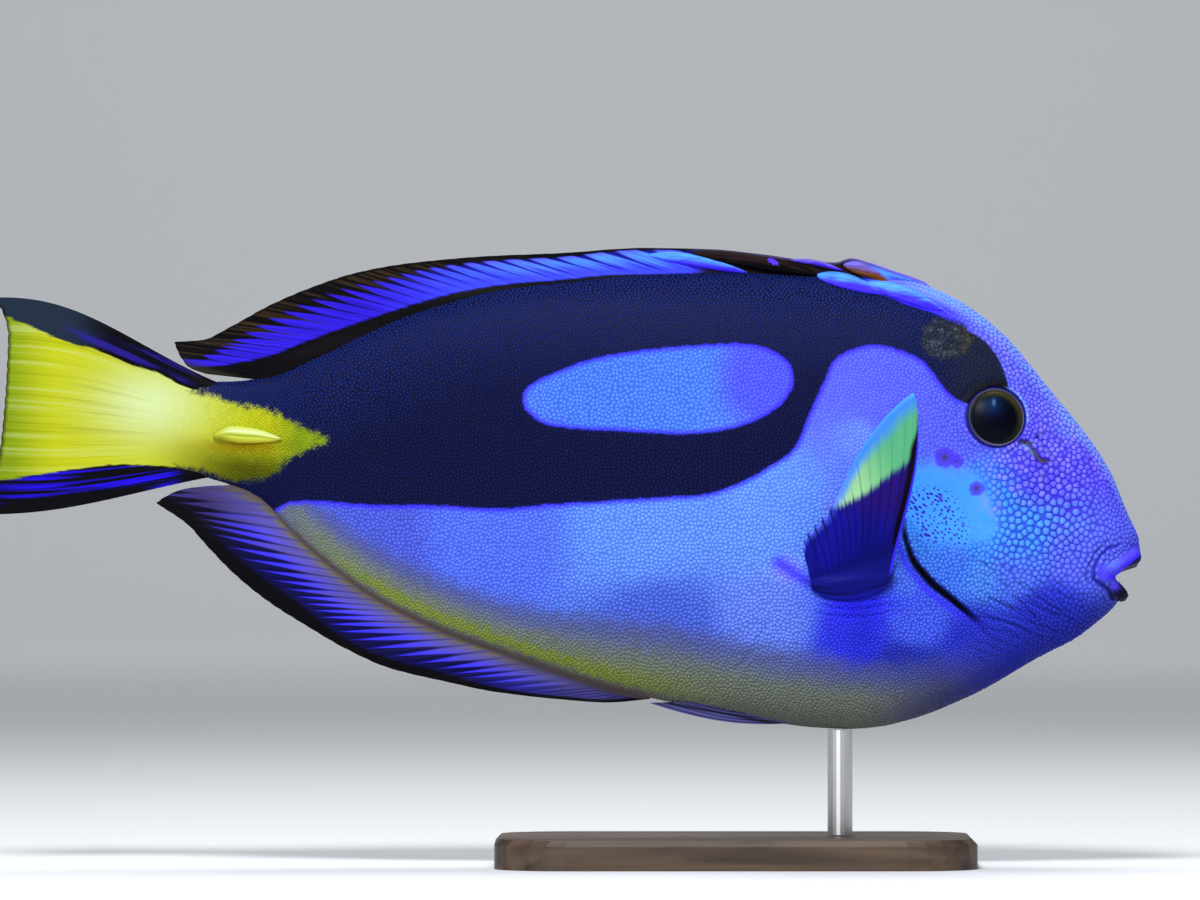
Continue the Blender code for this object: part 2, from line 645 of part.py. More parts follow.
def make_rod(look):
    """The rod from the base to the belly, its top cut to the belly's line."""
    turns = np.linspace(0, 2 * math.pi, ROD_SIDES, endpoint=False)
    x = ROD_X + ROD_RADIUS * np.cos(turns)
    y = ROD_RADIUS * np.sin(turns)
    foot = np.full_like(x, BASE_HEIGHT + GAP)
    head = belly(x) - GAP
    points = np.concatenate([np.stack([x, y, foot], 1), np.stack([x, y, head], 1)])
    faces = [tuple(range(ROD_SIDES)), tuple(range(ROD_SIDES, 2 * ROD_SIDES))]
    for k in range(ROD_SIDES):
        after = (k + 1) % ROD_SIDES
        faces.append((k, after, after + ROD_SIDES, k + ROD_SIDES))
    return mesh_object("stand_rod", points, faces, look)


def make_fish():
    """All parts of the fish."""
    blue = material("blue_skin", (0.10, 0.16, 0.95), 0.42)
    navy = material("black_band_skin", (0.012, 0.014, 0.05), 0.40)
    yellow = material("yellow_skin", (0.70, 0.78, 0.05), 0.45)
    fin_blue = material("blue_fin", (0.07, 0.08, 0.75), 0.45)
    fin_yellow = material("yellow_fin", (0.72, 0.80, 0.06), 0.45)
    mouth = material("mouth_lining", (0.01, 0.01, 0.02), 0.5)
    eye = material("eye", (0.01, 0.012, 0.03), 0.08)
    make_head(blue, mouth)
    make_torso(navy)
    make_peduncle(yellow)
    median_fin("dorsal_fin", DORSAL_RAYS, DORSAL_ROOT_X, back, GAP, DORSAL_EDGE, DORSAL_SWEEP,
               DORSAL_TAIL_EDGE, fin_blue)
    median_fin("anal_fin", ANAL_RAYS, ANAL_ROOT_X, belly, -GAP, ANAL_EDGE, ANAL_SWEEP,
               ANAL_TAIL_EDGE, fin_blue)
    make_caudal_fin(fin_yellow)
    for word, side in (("right", -1), ("left", 1)):
        eyeball("eye_" + word, side, 0.0, eye)
        make_pectoral_fin("pectoral_fin_" + word, side, fin_blue)
        make_pelvic_fin("pelvic_fin_" + word, side, fin_blue)
        make_caudal_spine("caudal_spine_" + word, side, yellow)


def make_stand():
    """The plain stand that holds the fish clear of the floor."""
    make_base(material("stand_board", (0.02, 0.02, 0.022), 0.35))
    make_rod(material("stand_steel", (0.6, 0.6, 0.62), 0.3, 1.0))


for leftover in list(bpy.data.objects):
    bpy.data.objects.remove(leftover)
make_fish()
make_stand()
for made in bpy.data.objects:
    made.data.shade_smooth()
    made.data.set_sharp_from_angle(angle=math.radians(40))
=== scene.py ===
"""Regal blue tang: the looks of a still, life-size model on a plain display stand.

Sizes are in millimetres and become metres when a mesh is made. A point of a side outline is (x, z):
x along the fish towards its head, z above the floor. Side -1 is the fish's right, and 1 its left.
"""

import math

import bmesh
import bpy
import numpy as np
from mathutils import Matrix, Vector
from mathutils.bvhtree import BVHTree
from mathutils.kdtree import KDTree


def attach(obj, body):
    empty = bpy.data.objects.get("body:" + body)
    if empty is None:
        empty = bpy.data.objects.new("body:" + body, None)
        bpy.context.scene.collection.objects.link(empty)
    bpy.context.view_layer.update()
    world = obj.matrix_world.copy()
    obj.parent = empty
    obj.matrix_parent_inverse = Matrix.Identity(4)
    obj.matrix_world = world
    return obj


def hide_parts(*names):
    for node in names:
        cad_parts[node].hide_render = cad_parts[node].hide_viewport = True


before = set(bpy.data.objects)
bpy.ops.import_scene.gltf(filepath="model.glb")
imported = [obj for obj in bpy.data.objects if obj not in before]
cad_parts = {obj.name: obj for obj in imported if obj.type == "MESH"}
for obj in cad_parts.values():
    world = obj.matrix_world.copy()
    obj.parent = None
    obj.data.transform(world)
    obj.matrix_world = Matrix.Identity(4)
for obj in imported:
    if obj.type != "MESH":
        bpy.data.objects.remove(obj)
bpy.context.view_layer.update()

MM = 0.001
SIDES = (("right", -1), ("left", 1))

# Flesh: the side outline, the greatest half width at each x, and the form of the cross section
HALF_LENGTH = 117.3
NOSE_X = 117.0
TAIL_ROOT_X = -70.6
SKIN_REAR_X = -80.0  # the skin thins out here, inside the root of the tail fin
BACK = [
    (TAIL_ROOT_X, 96.8), (-64.0, 96.9), (-57.0, 97.9), (-47.0, 102.2), (-28.8, 110.4),
    (-11.0, 115.2), (3.6, 117.0), (18.4, 118.2), (34.0, 118.7), (50.0, 117.9), (62.0, 117.5),
    (70.8, 116.9), (76.8, 115.0), (83.6, 111.2), (90.2, 105.6), (99.2, 94.8), (108.2, 83.4),
    (111.2, 78.4), (113.8, 72.0), (115.0, 69.2), (116.1, 66.9), (116.8, 65.0), (NOSE_X, 63.4),
]
BELLY = [
    (TAIL_ROOT_X, 78.0), (-63.0, 75.6), (-58.8, 73.4), (-52.2, 66.6), (-45.4, 60.4), (-37.6, 54.8),
    (-28.6, 49.8), (-8.4, 42.0), (13.4, 35.0), (25.6, 32.4), (37.2, 30.2), (45.4, 28.6),
    (52.0, 27.8), (59.0, 27.5), (65.0, 28.0), (71.0, 29.4), (83.6, 34.4), (97.0, 42.0),
    (103.6, 45.4), (109.0, 49.4), (111.6, 51.8), (113.2, 54.2), (115.4, 58.0), (NOSE_X, 61.2),
]
HALF_WIDTH = [
    (TAIL_ROOT_X, 2.5), (-60.0, 3.3), (-48.0, 4.7), (-30.0, 7.1), (0.0, 10.7), (30.0, 13.7),
    (50.0, 15.1), (66.0, 15.4), (76.0, 14.7), (86.0, 13.1), (96.0, 10.7), (104.0, 8.5),
    (110.0, 6.8), (113.6, 5.1), (115.6, 3.2), (NOSE_X, 1.4),
]
KEEL = 0.8  # half width of the keel along back and belly
KEEL_ROUNDNESS = 24
MIDDLE_STRIP = 0.6  # half width of the strip along back and belly where the relief changes sides
WIDEST_LEVEL = 0.44
TORSO_BACK_ROUNDING = 0.68
HEAD_BACK_ROUNDING = 0.58
HEAD_FORM_X = (58.0, 90.0)
BELLY_ROUNDING = 0.60
SKIN_DEPTH = 0.12  # how far the skin lies under the scales' tops
VOXEL = 0.36  # width of the skin's quads

# Scales
SCALES_REAR_X = -70.0  # the last scales, with a ragged end
ROOT_GAP = 0.80  # least distance of a scale's root from the next, as a share of the scales' spacing there
NEIGHBOURS = 8
WIDEST_SCALE = 0.62  # greatest half width of a scale, as a share of the spacing
LOW_SCALE = 0.14  # height of a small scale
TALL_SCALE_EXTRA = 0.34  # what a wide scale of the snout has on top of that
PATCH_RADIUS = 0.0015  # of each scale's patch on the OFBake map
PIT_SIZE = 0.33  # of the pits on the smooth part of the gill cover, as a share of their spacing

# Rings of points on a scale, from its rim inwards: share of its width, of its height, lean to the rear, rise
PLAIN_RINGS = ((0.99, -0.3, 0.0, 0.0), (0.80, 0.66, 0.02, 0.85))
ROUND_RINGS = ((0.99, -0.5, 0.0, 0.0), (0.89, 0.35, 0.0, 0.6), (0.66, 0.86, 0.04, 0.95))

# Stretches of the body, whose scales are one piece on each side: rear, front, a scale's sides and rings
SCALE_SPANS = (
    ("tail", -200, -8, 7, PLAIN_RINGS), ("flank", -8, 38, 7, PLAIN_RINGS),
    ("shoulder", 38, 86, 8, PLAIN_RINGS), ("snout", 86, 200, 10, ROUND_RINGS),
)

# Gill opening
GILL = [
    (88.4, 36.7), (87.0, 43.0), (84.0, 49.0), (79.6, 53.0), (74.8, 57.0), (70.8, 62.4),
    (69.2, 69.0), (70.2, 80.0), (71.4, 93.0), (71.4, 106.0), (70.8, 116.9),
]
GILL_LIFT = 0.8
GILL_LIFT_REACH = 7.0
GILL_DIP = 0.3
GILL_DIP_REACH = 3.0
GILL_LIFT_LEVELS = (44.0, 51.0, 76.0, 92.0)
SLIT_LEVELS = (47.5, 52.0, 66.0, 71.0)
SLIT_DEPTH = 1.5
SLIT_HALF = 0.62

# Eye
EYE_AT = (87.9, 89.7)
EYE_RADIUS = 7.0
EYE_SHOWS = 5.8
EYE_DEPTH = 4.2
EYE_PROUD = 1.8
EYE_RING = 5.66  # radius of the raised ring

# Mouth, lips, and the folds round them
MOUTH_GAP = [
    (119.0, 60.4), (115.5, 59.6), (113.2, 58.9), (111.6, 57.9), (112.4, 56.9), (113.6, 55.7),
    (114.8, 54.6), (119.0, 52.6),
]
MOUTH_HALF_SPAN = 9.0
LIP_SINK = 0.25
UPPER_LIP = ((110.4, 59.2), (115.5, 61.9), 1.75)  # corner, front and radius
LOWER_LIP = ((110.0, 56.0), (113.3, 54.2), 1.3)
LIP_FOLD = [(107.5, 57.5), (107.6, 60.0), (108.8, 62.3), (110.6, 63.7), (112.6, 64.3)]
CORNER_FOLD = [(107.5, 57.5), (109.1, 56.4), (110.5, 55.4), (111.3, 53.6)]
THROAT_FOLDS = (
    [(85.2, 61.0), (89.7, 56.5), (92.9, 53.0), (97.0, 48.5), (99.9, 46.9)],
    [(91.0, 57.1), (96.1, 54.6), (99.3, 52.0), (102.5, 50.8)],
    [(84.4, 50.2), (88.4, 49.5), (92.9, 47.9), (97.3, 45.8)],
    [(86.5, 53.9), (91.6, 51.4), (95.4, 48.8)],
    [(94.5, 53.3), (99.3, 50.8), (103.2, 49.4)],
    [(106.0, 57.4), (106.5, 60.3), (108.0, 63.2), (110.0, 64.8)],
)
UPPER_LIP_LINE = [
    (111.4, 57.6), (113.0, 59.1), (114.1, 60.1), (115.3, 61.0), (116.7, 62.1), (117.4, 62.5),
]
UPPER_LIP_REAR = [(56.5, 107.7), (60.0, 107.8), (62.5, 109.3), (63.8, 111.2), (65.5, 116.0)]  # height and x
LIT_LIP_AT = (110.9, 61.5)
LIP_STEPS = 25
LIP_SIDES = 12

# Nostrils
NOSTRIL_GROOVE = [(92.7, 84.8), (94.2, 84.5), (95.5, 82.7), (96.6, 81.2), (98.1, 80.9)]
NOSTRIL_LIT_EDGE = [(93.2, 84.2), (94.3, 83.6), (95.1, 82.4)]
NOSTRIL_PORES = ((96.1, 85.8, 0.45),)  # x, z, radius

# Snout, and creases of the skin
SNOUT_MIDDLE = (96.5, 68.5)
BELLY_CREASE = [(36.4, 39.6), (39.8, 43.6), (42.6, 49.4)]
ARMPIT_CREASE = [(44.6, 60.8), (47.8, 58.6), (51.4, 56.4)]

# Markings, as closed outlines on the side of the fish
BLACK_BAND = [
    (-53.4, 72.8), (-36.6, 72.2), (-25.2, 72.2), (-11.0, 71.5), (-2.2, 72.3), (9.6, 73.0),
    (21.8, 73.8), (30.0, 74.4), (37.0, 76.8), (42.4, 79.8), (47.6, 83.6), (50.6, 90.4),
    (53.6, 97.0), (55.4, 100.8), (58.4, 102.9), (63.4, 104.2), (68.2, 103.3), (73.2, 101.0),
    (76.0, 97.6), (79.0, 94.0), (82.2, 92.2), (88.0, 89.0), (90.6, 93.6), (89.8, 98.4),
    (87.6, 102.8), (84.0, 106.2), (76.2, 110.2), (69.5, 112.6), (65.6, 114.2), (62.6, 115.0),
    (60.6, 116.4), (59.0, 128.0), (-126.0, 128.0), (-126.0, 60.0), (-66.0, 66.0),
]
BLUE_OVAL = [
    (-6.4, 92.8), (-5.2, 96.0), (0.8, 99.0), (8.4, 101.6), (18.4, 103.2), (30.0, 104.2),
    (37.6, 104.4), (43.0, 103.2), (46.4, 100.8), (47.6, 97.8), (47.0, 95.0), (44.8, 92.0),
    (40.6, 89.4), (34.8, 87.4), (26.6, 86.4), (15.4, 86.8), (0.8, 87.8), (-4.4, 89.8),
]
YELLOW_TAIL = [
    (-109.4, 109.8), (-98.0, 104.9), (-91.8, 103.2), (-84.4, 100.0), (-79.4, 98.8), (-74.2, 95.8),
    (-67.6, 94.0), (-63.0, 92.2), (-58.0, 91.6), (-53.8, 89.6), (-48.2, 87.0), (-45.2, 85.0),
    (-49.8, 83.0), (-53.4, 81.0), (-56.0, 78.4), (-60.0, 77.0), (-64.0, 76.8), (-71.2, 79.0),
    (-77.8, 80.0), (-87.0, 80.2), (-97.2, 79.2), (-111.0, 77.2), (-126.0, 76.0), (-126.0, 114.0),
]
SCAR = [
    (73.4, 107.0), (76.0, 109.2), (80.0, 109.2), (83.0, 106.6), (83.2, 103.8), (79.8, 101.4),
    (75.8, 101.0), (73.2, 103.4),
]
SCAR_CRACK = [(81.6, 107.6), (82.6, 105.0), (81.4, 102.6)]
COVER = [  # the part of the gill cover that has no raised scales
    (70.2, 70.0), (70.8, 76.0), (72.6, 80.0), (77.0, 82.4), (81.6, 80.0), (84.6, 77.4), (86.8, 74.0),
    (88.2, 70.6), (88.4, 67.4), (85.4, 65.0), (80.6, 64.2), (76.0, 64.8), (72.5, 66.8),
]
CHEEK_SPOTS = (  # x, z, radius, radius of the core
    (77.6, 81.7, 2.2, 0.7), (79.9, 80.9, 1.5, 0.4), (83.9, 75.5, 1.7, 0.6), (76.6, 73.6, 0.5, 0.1),
    (81.3, 68.3, 0.4, 0.1),
)

# Fins
FIN_EDGE = 0.20  # half thickness of a membrane at its outer edge
MEMBRANE = 0.38
RAY_RIDGE = 0.26
SCALLOP = 0.006  # how far the edge falls back between rays, as a share of their length
FOOT_DEPTH = 0.9  # how far a fin's foot goes into the flesh

DORSAL_RAYS = 36
DORSAL_ROOT_X = (78.0, -57.0)
DORSAL_EDGE = [
    (-76.2, 104.8), (-70.6, 105.2), (-65.4, 107.6), (-57.4, 112.0), (-49.6, 115.4), (-39.2, 118.8),
    (-28.8, 120.6), (-13.0, 122.0), (1.0, 122.6), (18.4, 123.6), (30.0, 123.4), (41.8, 122.3),
    (46.6, 121.6), (52.0, 120.9), (56.0, 120.7), (59.1, 121.5), (62.5, 120.7), (67.5, 119.0),
    (72.6, 117.3), (77.6, 115.0),
]
DORSAL_SWEEP = [
    (0.0, 4.0), (0.17, 11.0), (0.34, 16.0), (0.60, 18.5), (0.764, 21.0), (0.844, 24.0), (0.934, 27.9),
]
DORSAL_SPREAD = [(0.0, 0.0), (0.32, 0.548), (0.51, 0.717), (1.0, 1.0)]  # spines stand further apart in front
DORSAL_TAIL_EDGE = [
    (0.934, -76.2, 104.8), (0.958, -75.2, 102.4), (0.981, -73.2, 99.8), (1.0, -69.8, 98.5),
]
DORSAL_BLUE_START = [
    (-76.0, 99.6), (-68.4, 100.0), (-58.0, 101.8), (-49.6, 105.0), (-39.2, 108.8), (-28.8, 112.2),
    (-18.2, 115.0), (-7.8, 116.6), (1.0, 117.3), (12.0, 118.2), (40.0, 118.8), (70.0, 116.4),
]
DORSAL_MARGIN = [
    (-76.0, 3.4), (-64.0, 3.0), (-51.0, 2.6), (-38.5, 2.5), (-32.0, 2.2), (-25.0, 1.5), (-12.0, 1.1),
    (0.0, 0.9), (12.0, 0.5), (70.0, 0.4),
]

FOLD_FOOT = 0.5  # how far the folded lobes of the dorsal fin stand out from its middle
FOLD_RISE = 0.9

ANAL_RAYS = 36  # branches show as rays of their own
ANAL_ROOT_X = (21.2, -62.6)
ANAL_EDGE = [
    (-79.8, 72.6), (-73.4, 68.2), (-69.6, 64.0), (-64.6, 58.8), (-57.8, 53.2), (-50.0, 48.2),
    (-42.2, 43.6), (-33.2, 39.6), (-22.4, 37.0), (-11.8, 34.8), (1.0, 33.4), (10.0, 32.8), (18.8, 33.5),
]
ANAL_SWEEP = [(0.0, 2.5), (0.1, 20.0), (0.25, 25.0), (0.5, 27.0), (0.7, 27.5), (0.8, 26.8), (0.9, 25.26)]
ANAL_SPREAD = [(0.0, 0.0), (0.2, 0.1), (0.32, 0.25), (0.5, 0.5), (0.71, 0.7), (0.905, 0.9), (1.0, 1.0)]
ANAL_TAIL_EDGE = [(0.9, -79.8, 72.6), (0.93, -78.2, 73.7), (0.97, -74.6, 75.2), (1.0, -70.8, 75.7)]
ANAL_MARGIN = [
    (-80.0, 2.2), (-65.0, 3.9), (-59.0, 4.3), (-52.7, 4.0), (-47.0, 3.0), (-40.0, 2.0), (-26.0, 2.0),
    (-18.0, 1.3), (0.0, 0.6), (16.0, 0.4),
]

CAUDAL_RAYS = 18
CAUDAL_TIPS = [  # height and length of the rays' tips
    (70.3, -HALF_LENGTH), (73.0, -114.8), (77.0, -112.7), (83.0, -111.1), (90.0, -110.3), (98.0, -109.7),
    (106.0, -109.4), (111.0, -110.6), (113.7, -113.4),
]
CAUDAL_UPPER_BOW = 3.8
CAUDAL_LOWER_BOW = -1.7
CAUDAL_BOW_LATENESS = 1.5
CAUDAL_SINK = 0.26
CAUDAL_FOOT_DEPTH = 3.0

PECTORAL_RAYS = 15
PECTORAL_FRONT = (66.6, 57.8)
PECTORAL_REAR = (51.0, 56.6)
PECTORAL_TIPS = [
    (0.0, 71.5, 90.6), (0.05, 70.6, 94.2), (0.14, 67.0, 91.5), (0.26, 62.6, 86.4), (0.38, 59.2, 81.0),
    (0.50, 56.8, 75.9), (0.62, 54.8, 72.0), (0.76, 51.6, 68.4), (0.90, 49.4, 65.4), (1.0, 49.4, 62.6),
]
PECTORAL_SPREAD = 0.97  # how far the fin stands out from the flank, for each unit that it rises
PECTORAL_TURN = 6.0  # height above the root by which it has bent outwards
PECTORAL_FORWARD_BOW = 1.3
PECTORAL_BOW_LATENESS = 1.4
PECTORAL_OUTWARD_BOW = 2.0
PECTORAL_ROOT_HALF = 1.5
PECTORAL_SINK = 0.16
PECTORAL_ROOT_SHARE = 0.12  # rows of the fin's grid that cover its fleshy root
PECTORAL_ROOT_DEPTH = 4.0
PECTORAL_ROOT_FOLDS = 19  # angle that the root's wrinkles run through, in radians
PECTORAL_DARK_EDGE = [
    (50.0, 72.0), (55.8, 72.0), (59.8, 73.6), (63.0, 75.6), (67.0, 78.8), (70.2, 81.2), (72.2, 85.0),
    (74.0, 90.0),
]

PELVIC_RAYS = 4
PELVIC_ROOT_X = (50.6, 44.4)
PELVIC_TIP = (19.0, 32.6)
PELVIC_INNER_TIP_X = 28.0
PELVIC_SAG = 1.9
PELVIC_OFFSET = 1.35
PELVIC_SPLAY = 0.9

# Blades on the sides of the tail
SPINE_LOWER = [(-68.2, 85.6), (-62.0, 84.6), (-57.0, 84.8), (-54.6, 85.3)]
SPINE_UPPER = [(-68.2, 86.6), (-64.6, 88.1), (-60.0, 87.6), (-56.8, 86.6), (-54.6, 85.6)]
SPINE_THICKNESS = 1.5
BLADE_GROOVE = 0.42  # height of the groove, as a share of the blade's

# Studio, in metres
CAMERA_AT = (0.009, -2.4, 0.0832)
LENS = 360.0
SENSOR = 36.0
LIT_POINT = (0.02, 0, 0.08)
FLOOR_FRONT_Y = -3.0
FLOOR_HALF_WIDTH = 4.0
BACKDROP_Y = 3.0  # how far behind the fish the floor starts to curve up
BACKDROP_BEND = 0.8
BACKDROP_TOP = 3.0

# Colours of the stand and the studio, as light
DARK_WOOD = (0.030, 0.018, 0.011)
PALE_WOOD = (0.105, 0.066, 0.040)
STEEL = (0.62, 0.62, 0.64)
PAPER = (0.72, 0.74, 0.76)
SURROUND = (0.93, 0.96, 1.0)


def colour(red, green, blue):
    """A colour as light, from its values on a screen, 0 to 255."""
    screen = np.array([red, green, blue]) / 255
    return np.where(screen <= 0.04045, screen / 12.92, ((screen + 0.055) / 1.055) ** 2.4)


VIOLET_BLUE = colour(96, 104, 252)
VIOLET = colour(92, 84, 246)
CYAN_BLUE = colour(62, 146, 252)
SKY_BLUE = colour(102, 152, 255)
# deep and shade blues: partly painted shade low on the head and throat
DEEP_SHADE_BLUE = colour(44, 56, 205)
SHADE_BLUE = colour(38, 50, 172)
ROYAL_BLUE = colour(56, 40, 238)
# pale blue of the painted highlights on the brow, the eye's rim and the nostril
PALE_HIGHLIGHT_BLUE = colour(122, 172, 255)
SNOUT_SKY = colour(86, 158, 255)
SNOUT_LILAC = colour(134, 126, 255)
GROOVE_VIOLET = colour(38, 14, 176)
NAVY = colour(8, 11, 52)
# navy sheen: a painted highlight on the tops of the black band's scales
NAVY_SHEEN = colour(18, 33, 96)
OLIVE = colour(110, 118, 100)
YELLOW = colour(170, 176, 22)
PALE_YELLOW = colour(188, 204, 146)
DARK_YELLOW = colour(66, 70, 2)
GREEN_YELLOW = colour(104, 130, 18)
BLACK = colour(6, 5, 9)
BROWN_BLACK = colour(30, 20, 20)
BROWN = colour(86, 66, 40)
SCAR_GREY = colour(92, 96, 104)
SPOT_VIOLET = colour(72, 48, 214)
SPOT_CORE = colour(58, 60, 82)
GROOVE_BLUE = colour(20, 20, 142)
BELLY_LIME = colour(120, 136, 44)
BELLY_SLATE = colour(80, 88, 136)
BELLY_BROWN = colour(92, 80, 78)
BELLY_GREY = colour(102, 102, 120)
NOSTRIL_BROWN = colour(84, 74, 44)
FOLD_BROWN = colour(32, 19, 20)
FOLD_EDGE_HIGHLIGHT = colour(66, 60, 96)
FOLD_ORANGE = colour(112, 62, 12)
FOLD_VIOLET = colour(78, 44, 232)
FOLD_LILAC = colour(104, 96, 200)
FOLD_SKY = colour(76, 146, 250)
PECTORAL_NAVY = colour(13, 17, 112)
STREAK_BLUE = colour(62, 42, 252)
STREAK_VIOLET = colour(84, 70, 246)
STREAK_SKY = colour(72, 128, 252)
TEAL_BLACK = colour(27, 38, 54)
FIN_GREY = colour(84, 76, 158)
FIN_OLIVE = colour(96, 92, 74)
FIN_GREEN = colour(92, 184, 130)
FIN_LIME = colour(176, 228, 166)
BONE_YELLOW = colour(184, 196, 60)
IRIS_OLIVE = colour(52, 49, 24)
IRIS_GREEN = colour(12, 24, 20)
PUPIL = colour(3, 4, 16)
PUPIL_SHEEN = colour(11, 38, 84)
PUPIL_GLINT = colour(90, 140, 190)
RING_SILVER = colour(116, 108, 158)
RING_SHADE = colour(34, 30, 130)
BLADE_SHADE = colour(126, 104, 0)
BLADE_LOW_SHADE = colour(190, 180, 30)
BROW_SLATE = colour(26, 30, 44)
SCAR_SLATE = colour(30, 36, 48)
SCAR_UMBER = colour(44, 41, 34)
PIT_VIOLET = colour(46, 40, 170)
ARMPIT_BLUE = colour(34, 26, 222)
ARMPIT_SHADE = colour(34, 36, 190)
DORSAL_VIOLET = colour(42, 25, 192)
DORSAL_BLUE = colour(56, 66, 246)
DORSAL_LINE = colour(20, 12, 130)
FLAME_BLUE = colour(54, 48, 240)
FLAME_BROWN = colour(46, 38, 56)
FLAME_GREY = colour(68, 64, 122)
LOBE_BLUE = colour(30, 11, 206)
LOBE_VIOLET = colour(38, 28, 140)
PECTORAL_BLUE = colour(30, 22, 190)
PECTORAL_PURPLE = colour(44, 18, 112)
PECTORAL_RAY = colour(8, 8, 58)
PECTORAL_TIP = colour(70, 146, 252)
PECTORAL_EDGE = colour(10, 6, 22)
PECTORAL_SPIKE = colour(84, 104, 246)
PECTORAL_FOOT = colour(36, 40, 214)
PECTORAL_FOLD_SHADE = colour(6, 6, 44)
PELVIC_GREY = colour(98, 98, 166)
PELVIC_SHADE = colour(60, 60, 110)

# Folded lobes in front of the dorsal fin's open part: rear, front, half height, lower and upper colour
DORSAL_FOLDS = (
    ((18.6, 122.2), (38.6, 118.6), 1.3, STREAK_BLUE, FOLD_SKY),
    ((27.0, 122.5), (53.0, 118.0), 1.5, BLACK, FOLD_BROWN),
    ((41.4, 120.9), (46.0, 119.4), 0.8, STREAK_VIOLET, FOLD_VIOLET),
    ((47.0, 121.2), (57.8, 119.0), 0.55, FOLD_VIOLET, FOLD_LILAC),
    ((52.2, 118.1), (66.0, 114.3), 1.6, STREAK_BLUE, FOLD_SKY),
    ((57.6, 120.2), (66.8, 116.9), 1.35, FOLD_ORANGE, FOLD_LILAC),
    ((62.4, 116.6), (77.6, 111.0), 1.7, STREAK_BLUE, FOLD_SKY),
)

# Broad patches of blue: x, z, reach, colour; the deep and shade blues low on the head and throat are partly
# painted shade
BLUE_PATCHES = [
    (66, 93, 13, VIOLET_BLUE), (79, 88, 8, VIOLET_BLUE), (85, 69, 11, CYAN_BLUE),
    (93, 67, 7, colour(62, 138, 253)), (62, 78, 7, colour(98, 130, 252)), (104, 88, 5, colour(118, 138, 250)),
    (74, 74, 7, CYAN_BLUE), (101, 79, 11, VIOLET), (90, 106, 9, colour(104, 112, 250)),
    (104, 64, 8, colour(96, 112, 248)), (92, 60, 7, colour(84, 122, 248)), (98, 50, 8, DEEP_SHADE_BLUE),
    (84, 44, 8, DEEP_SHADE_BLUE), (70, 38, 10, SHADE_BLUE), (45, 66, 13, SKY_BLUE), (18, 66, 14, SKY_BLUE),
    (-12, 67, 13, colour(88, 120, 248)), (-38, 67, 13, colour(82, 100, 216)),
    (20, 50, 12, colour(78, 106, 216)), (42, 52, 9, colour(106, 138, 246)),
    (60, 47, 8, colour(48, 56, 232)), (46, 60, 5, colour(140, 146, 255)), (69, 57, 4, colour(84, 130, 250)),
    (15, 95, 12, colour(78, 132, 246)), (42, 97, 6, colour(84, 92, 248)), (72, 49, 7, colour(76, 104, 248)),
    (58, 70, 5, colour(118, 132, 252)), (80, 61, 5, colour(70, 128, 250)),
    (92, 62, 4.5, colour(64, 142, 250)), (85, 58, 4.5, colour(80, 144, 252)),
    (61, 86, 6, colour(106, 140, 252)),
]


def smooth(points):
    """A smooth function through (x, y) points that never overshoots them."""
    knots, values = np.array(sorted(points), float).T
    steps = np.diff(knots)
    rises = np.diff(values) / steps
    slopes = np.concatenate([rises[:1], np.zeros(len(knots) - 2), rises[-1:]])
    for k in range(1, len(knots) - 1):
        if rises[k - 1] * rises[k] > 0:
            before, after = 2 * steps[k] + steps[k - 1], steps[k] + 2 * steps[k - 1]
            slopes[k] = (before + after) / (before / rises[k - 1] + after / rises[k])

    def value(at):
        at = np.clip(at, knots[0], knots[-1])
        k = np.clip(np.searchsorted(knots, at) - 1, 0, len(steps) - 1)
        t = (at - knots[k]) / steps[k]
        ends = values[k] * (1 + 2 * t) * (1 - t) ** 2 + values[k + 1] * t**2 * (3 - 2 * t)
        return ends + steps[k] * (slopes[k] * t * (1 - t) ** 2 - slopes[k + 1] * t**2 * (1 - t))

    return value


def path(points):
    """A smooth curve through rows of (parameter, x, z), as two functions of the parameter."""
    return smooth([(t, x) for t, x, z in points]), smooth([(t, z) for t, x, z in points])


back = smooth(BACK)
belly = smooth(BELLY)
widest = smooth(HALF_WIDTH)
gill = smooth([(z, x) for x, z in GILL])


def ramp(value, start, end):
    """0 before start, 1 after end, with a soft turn at both."""
    t = np.clip((value - start) / (end - start), 0, 1)
    return t * t * (3 - 2 * t)


def band(value, start, full, fade, end):
    """0 before start, 1 between full and fade, 0 after end."""
    return ramp(value, start, full) * (1 - ramp(value, fade, end))


def bell(distance, width):
    """1 at no distance, falling smoothly to 0 over about twice the width."""
    return np.exp(-((distance / width) ** 2))


def oval(x, z, middle, half_length, half_height):
    """1 in the middle of a soft oval patch, falling smoothly to 0 round it."""
    return bell(np.hypot((x - middle[0]) / half_length, (z - middle[1]) / half_height), 1.0)


def cloud(points, size, seed):
    """Smooth random values from -1 to 1 at points, in lumps of a given size."""
    spots = np.asarray(points, float) / size
    cell = np.floor(spots).astype(np.int64)
    part = spots - cell
    part = part * part * (3 - 2 * part)
    table = np.random.default_rng(seed).uniform(-1, 1, 4096)
    total = np.zeros(len(spots))
    for corner in range(8):
        step = np.array([corner & 1, corner >> 1 & 1, corner >> 2 & 1])
        at = cell + step
        key = (at[:, 0] * 73856093 ^ at[:, 1] * 19349663 ^ at[:, 2] * 83492791) & 4095
        total += np.prod(np.where(step, part, 1 - part), axis=1) * table[key]
    return total


def side_cloud(x, z, size, seed):
    """Smooth random values that are the same on both sides of the fish."""
    return cloud(np.stack([x, 0 * x, z], 1), size, seed)


def closed_curve(points, steps=4):
    """A smooth closed outline through points."""
    p = np.array(points, float)
    before, after, last = np.roll(p, 1, 0), np.roll(p, -1, 0), np.roll(p, -2, 0)
    rows = []
    for t in np.arange(steps) / steps:
        rows.append(0.5 * (
            2 * p + (after - before) * t + (2 * before - 5 * p + 4 * after - last) * t**2
            + (3 * p - before - 3 * after + last) * t**3
        ))
    return np.stack(rows, 1).reshape(-1, 2)


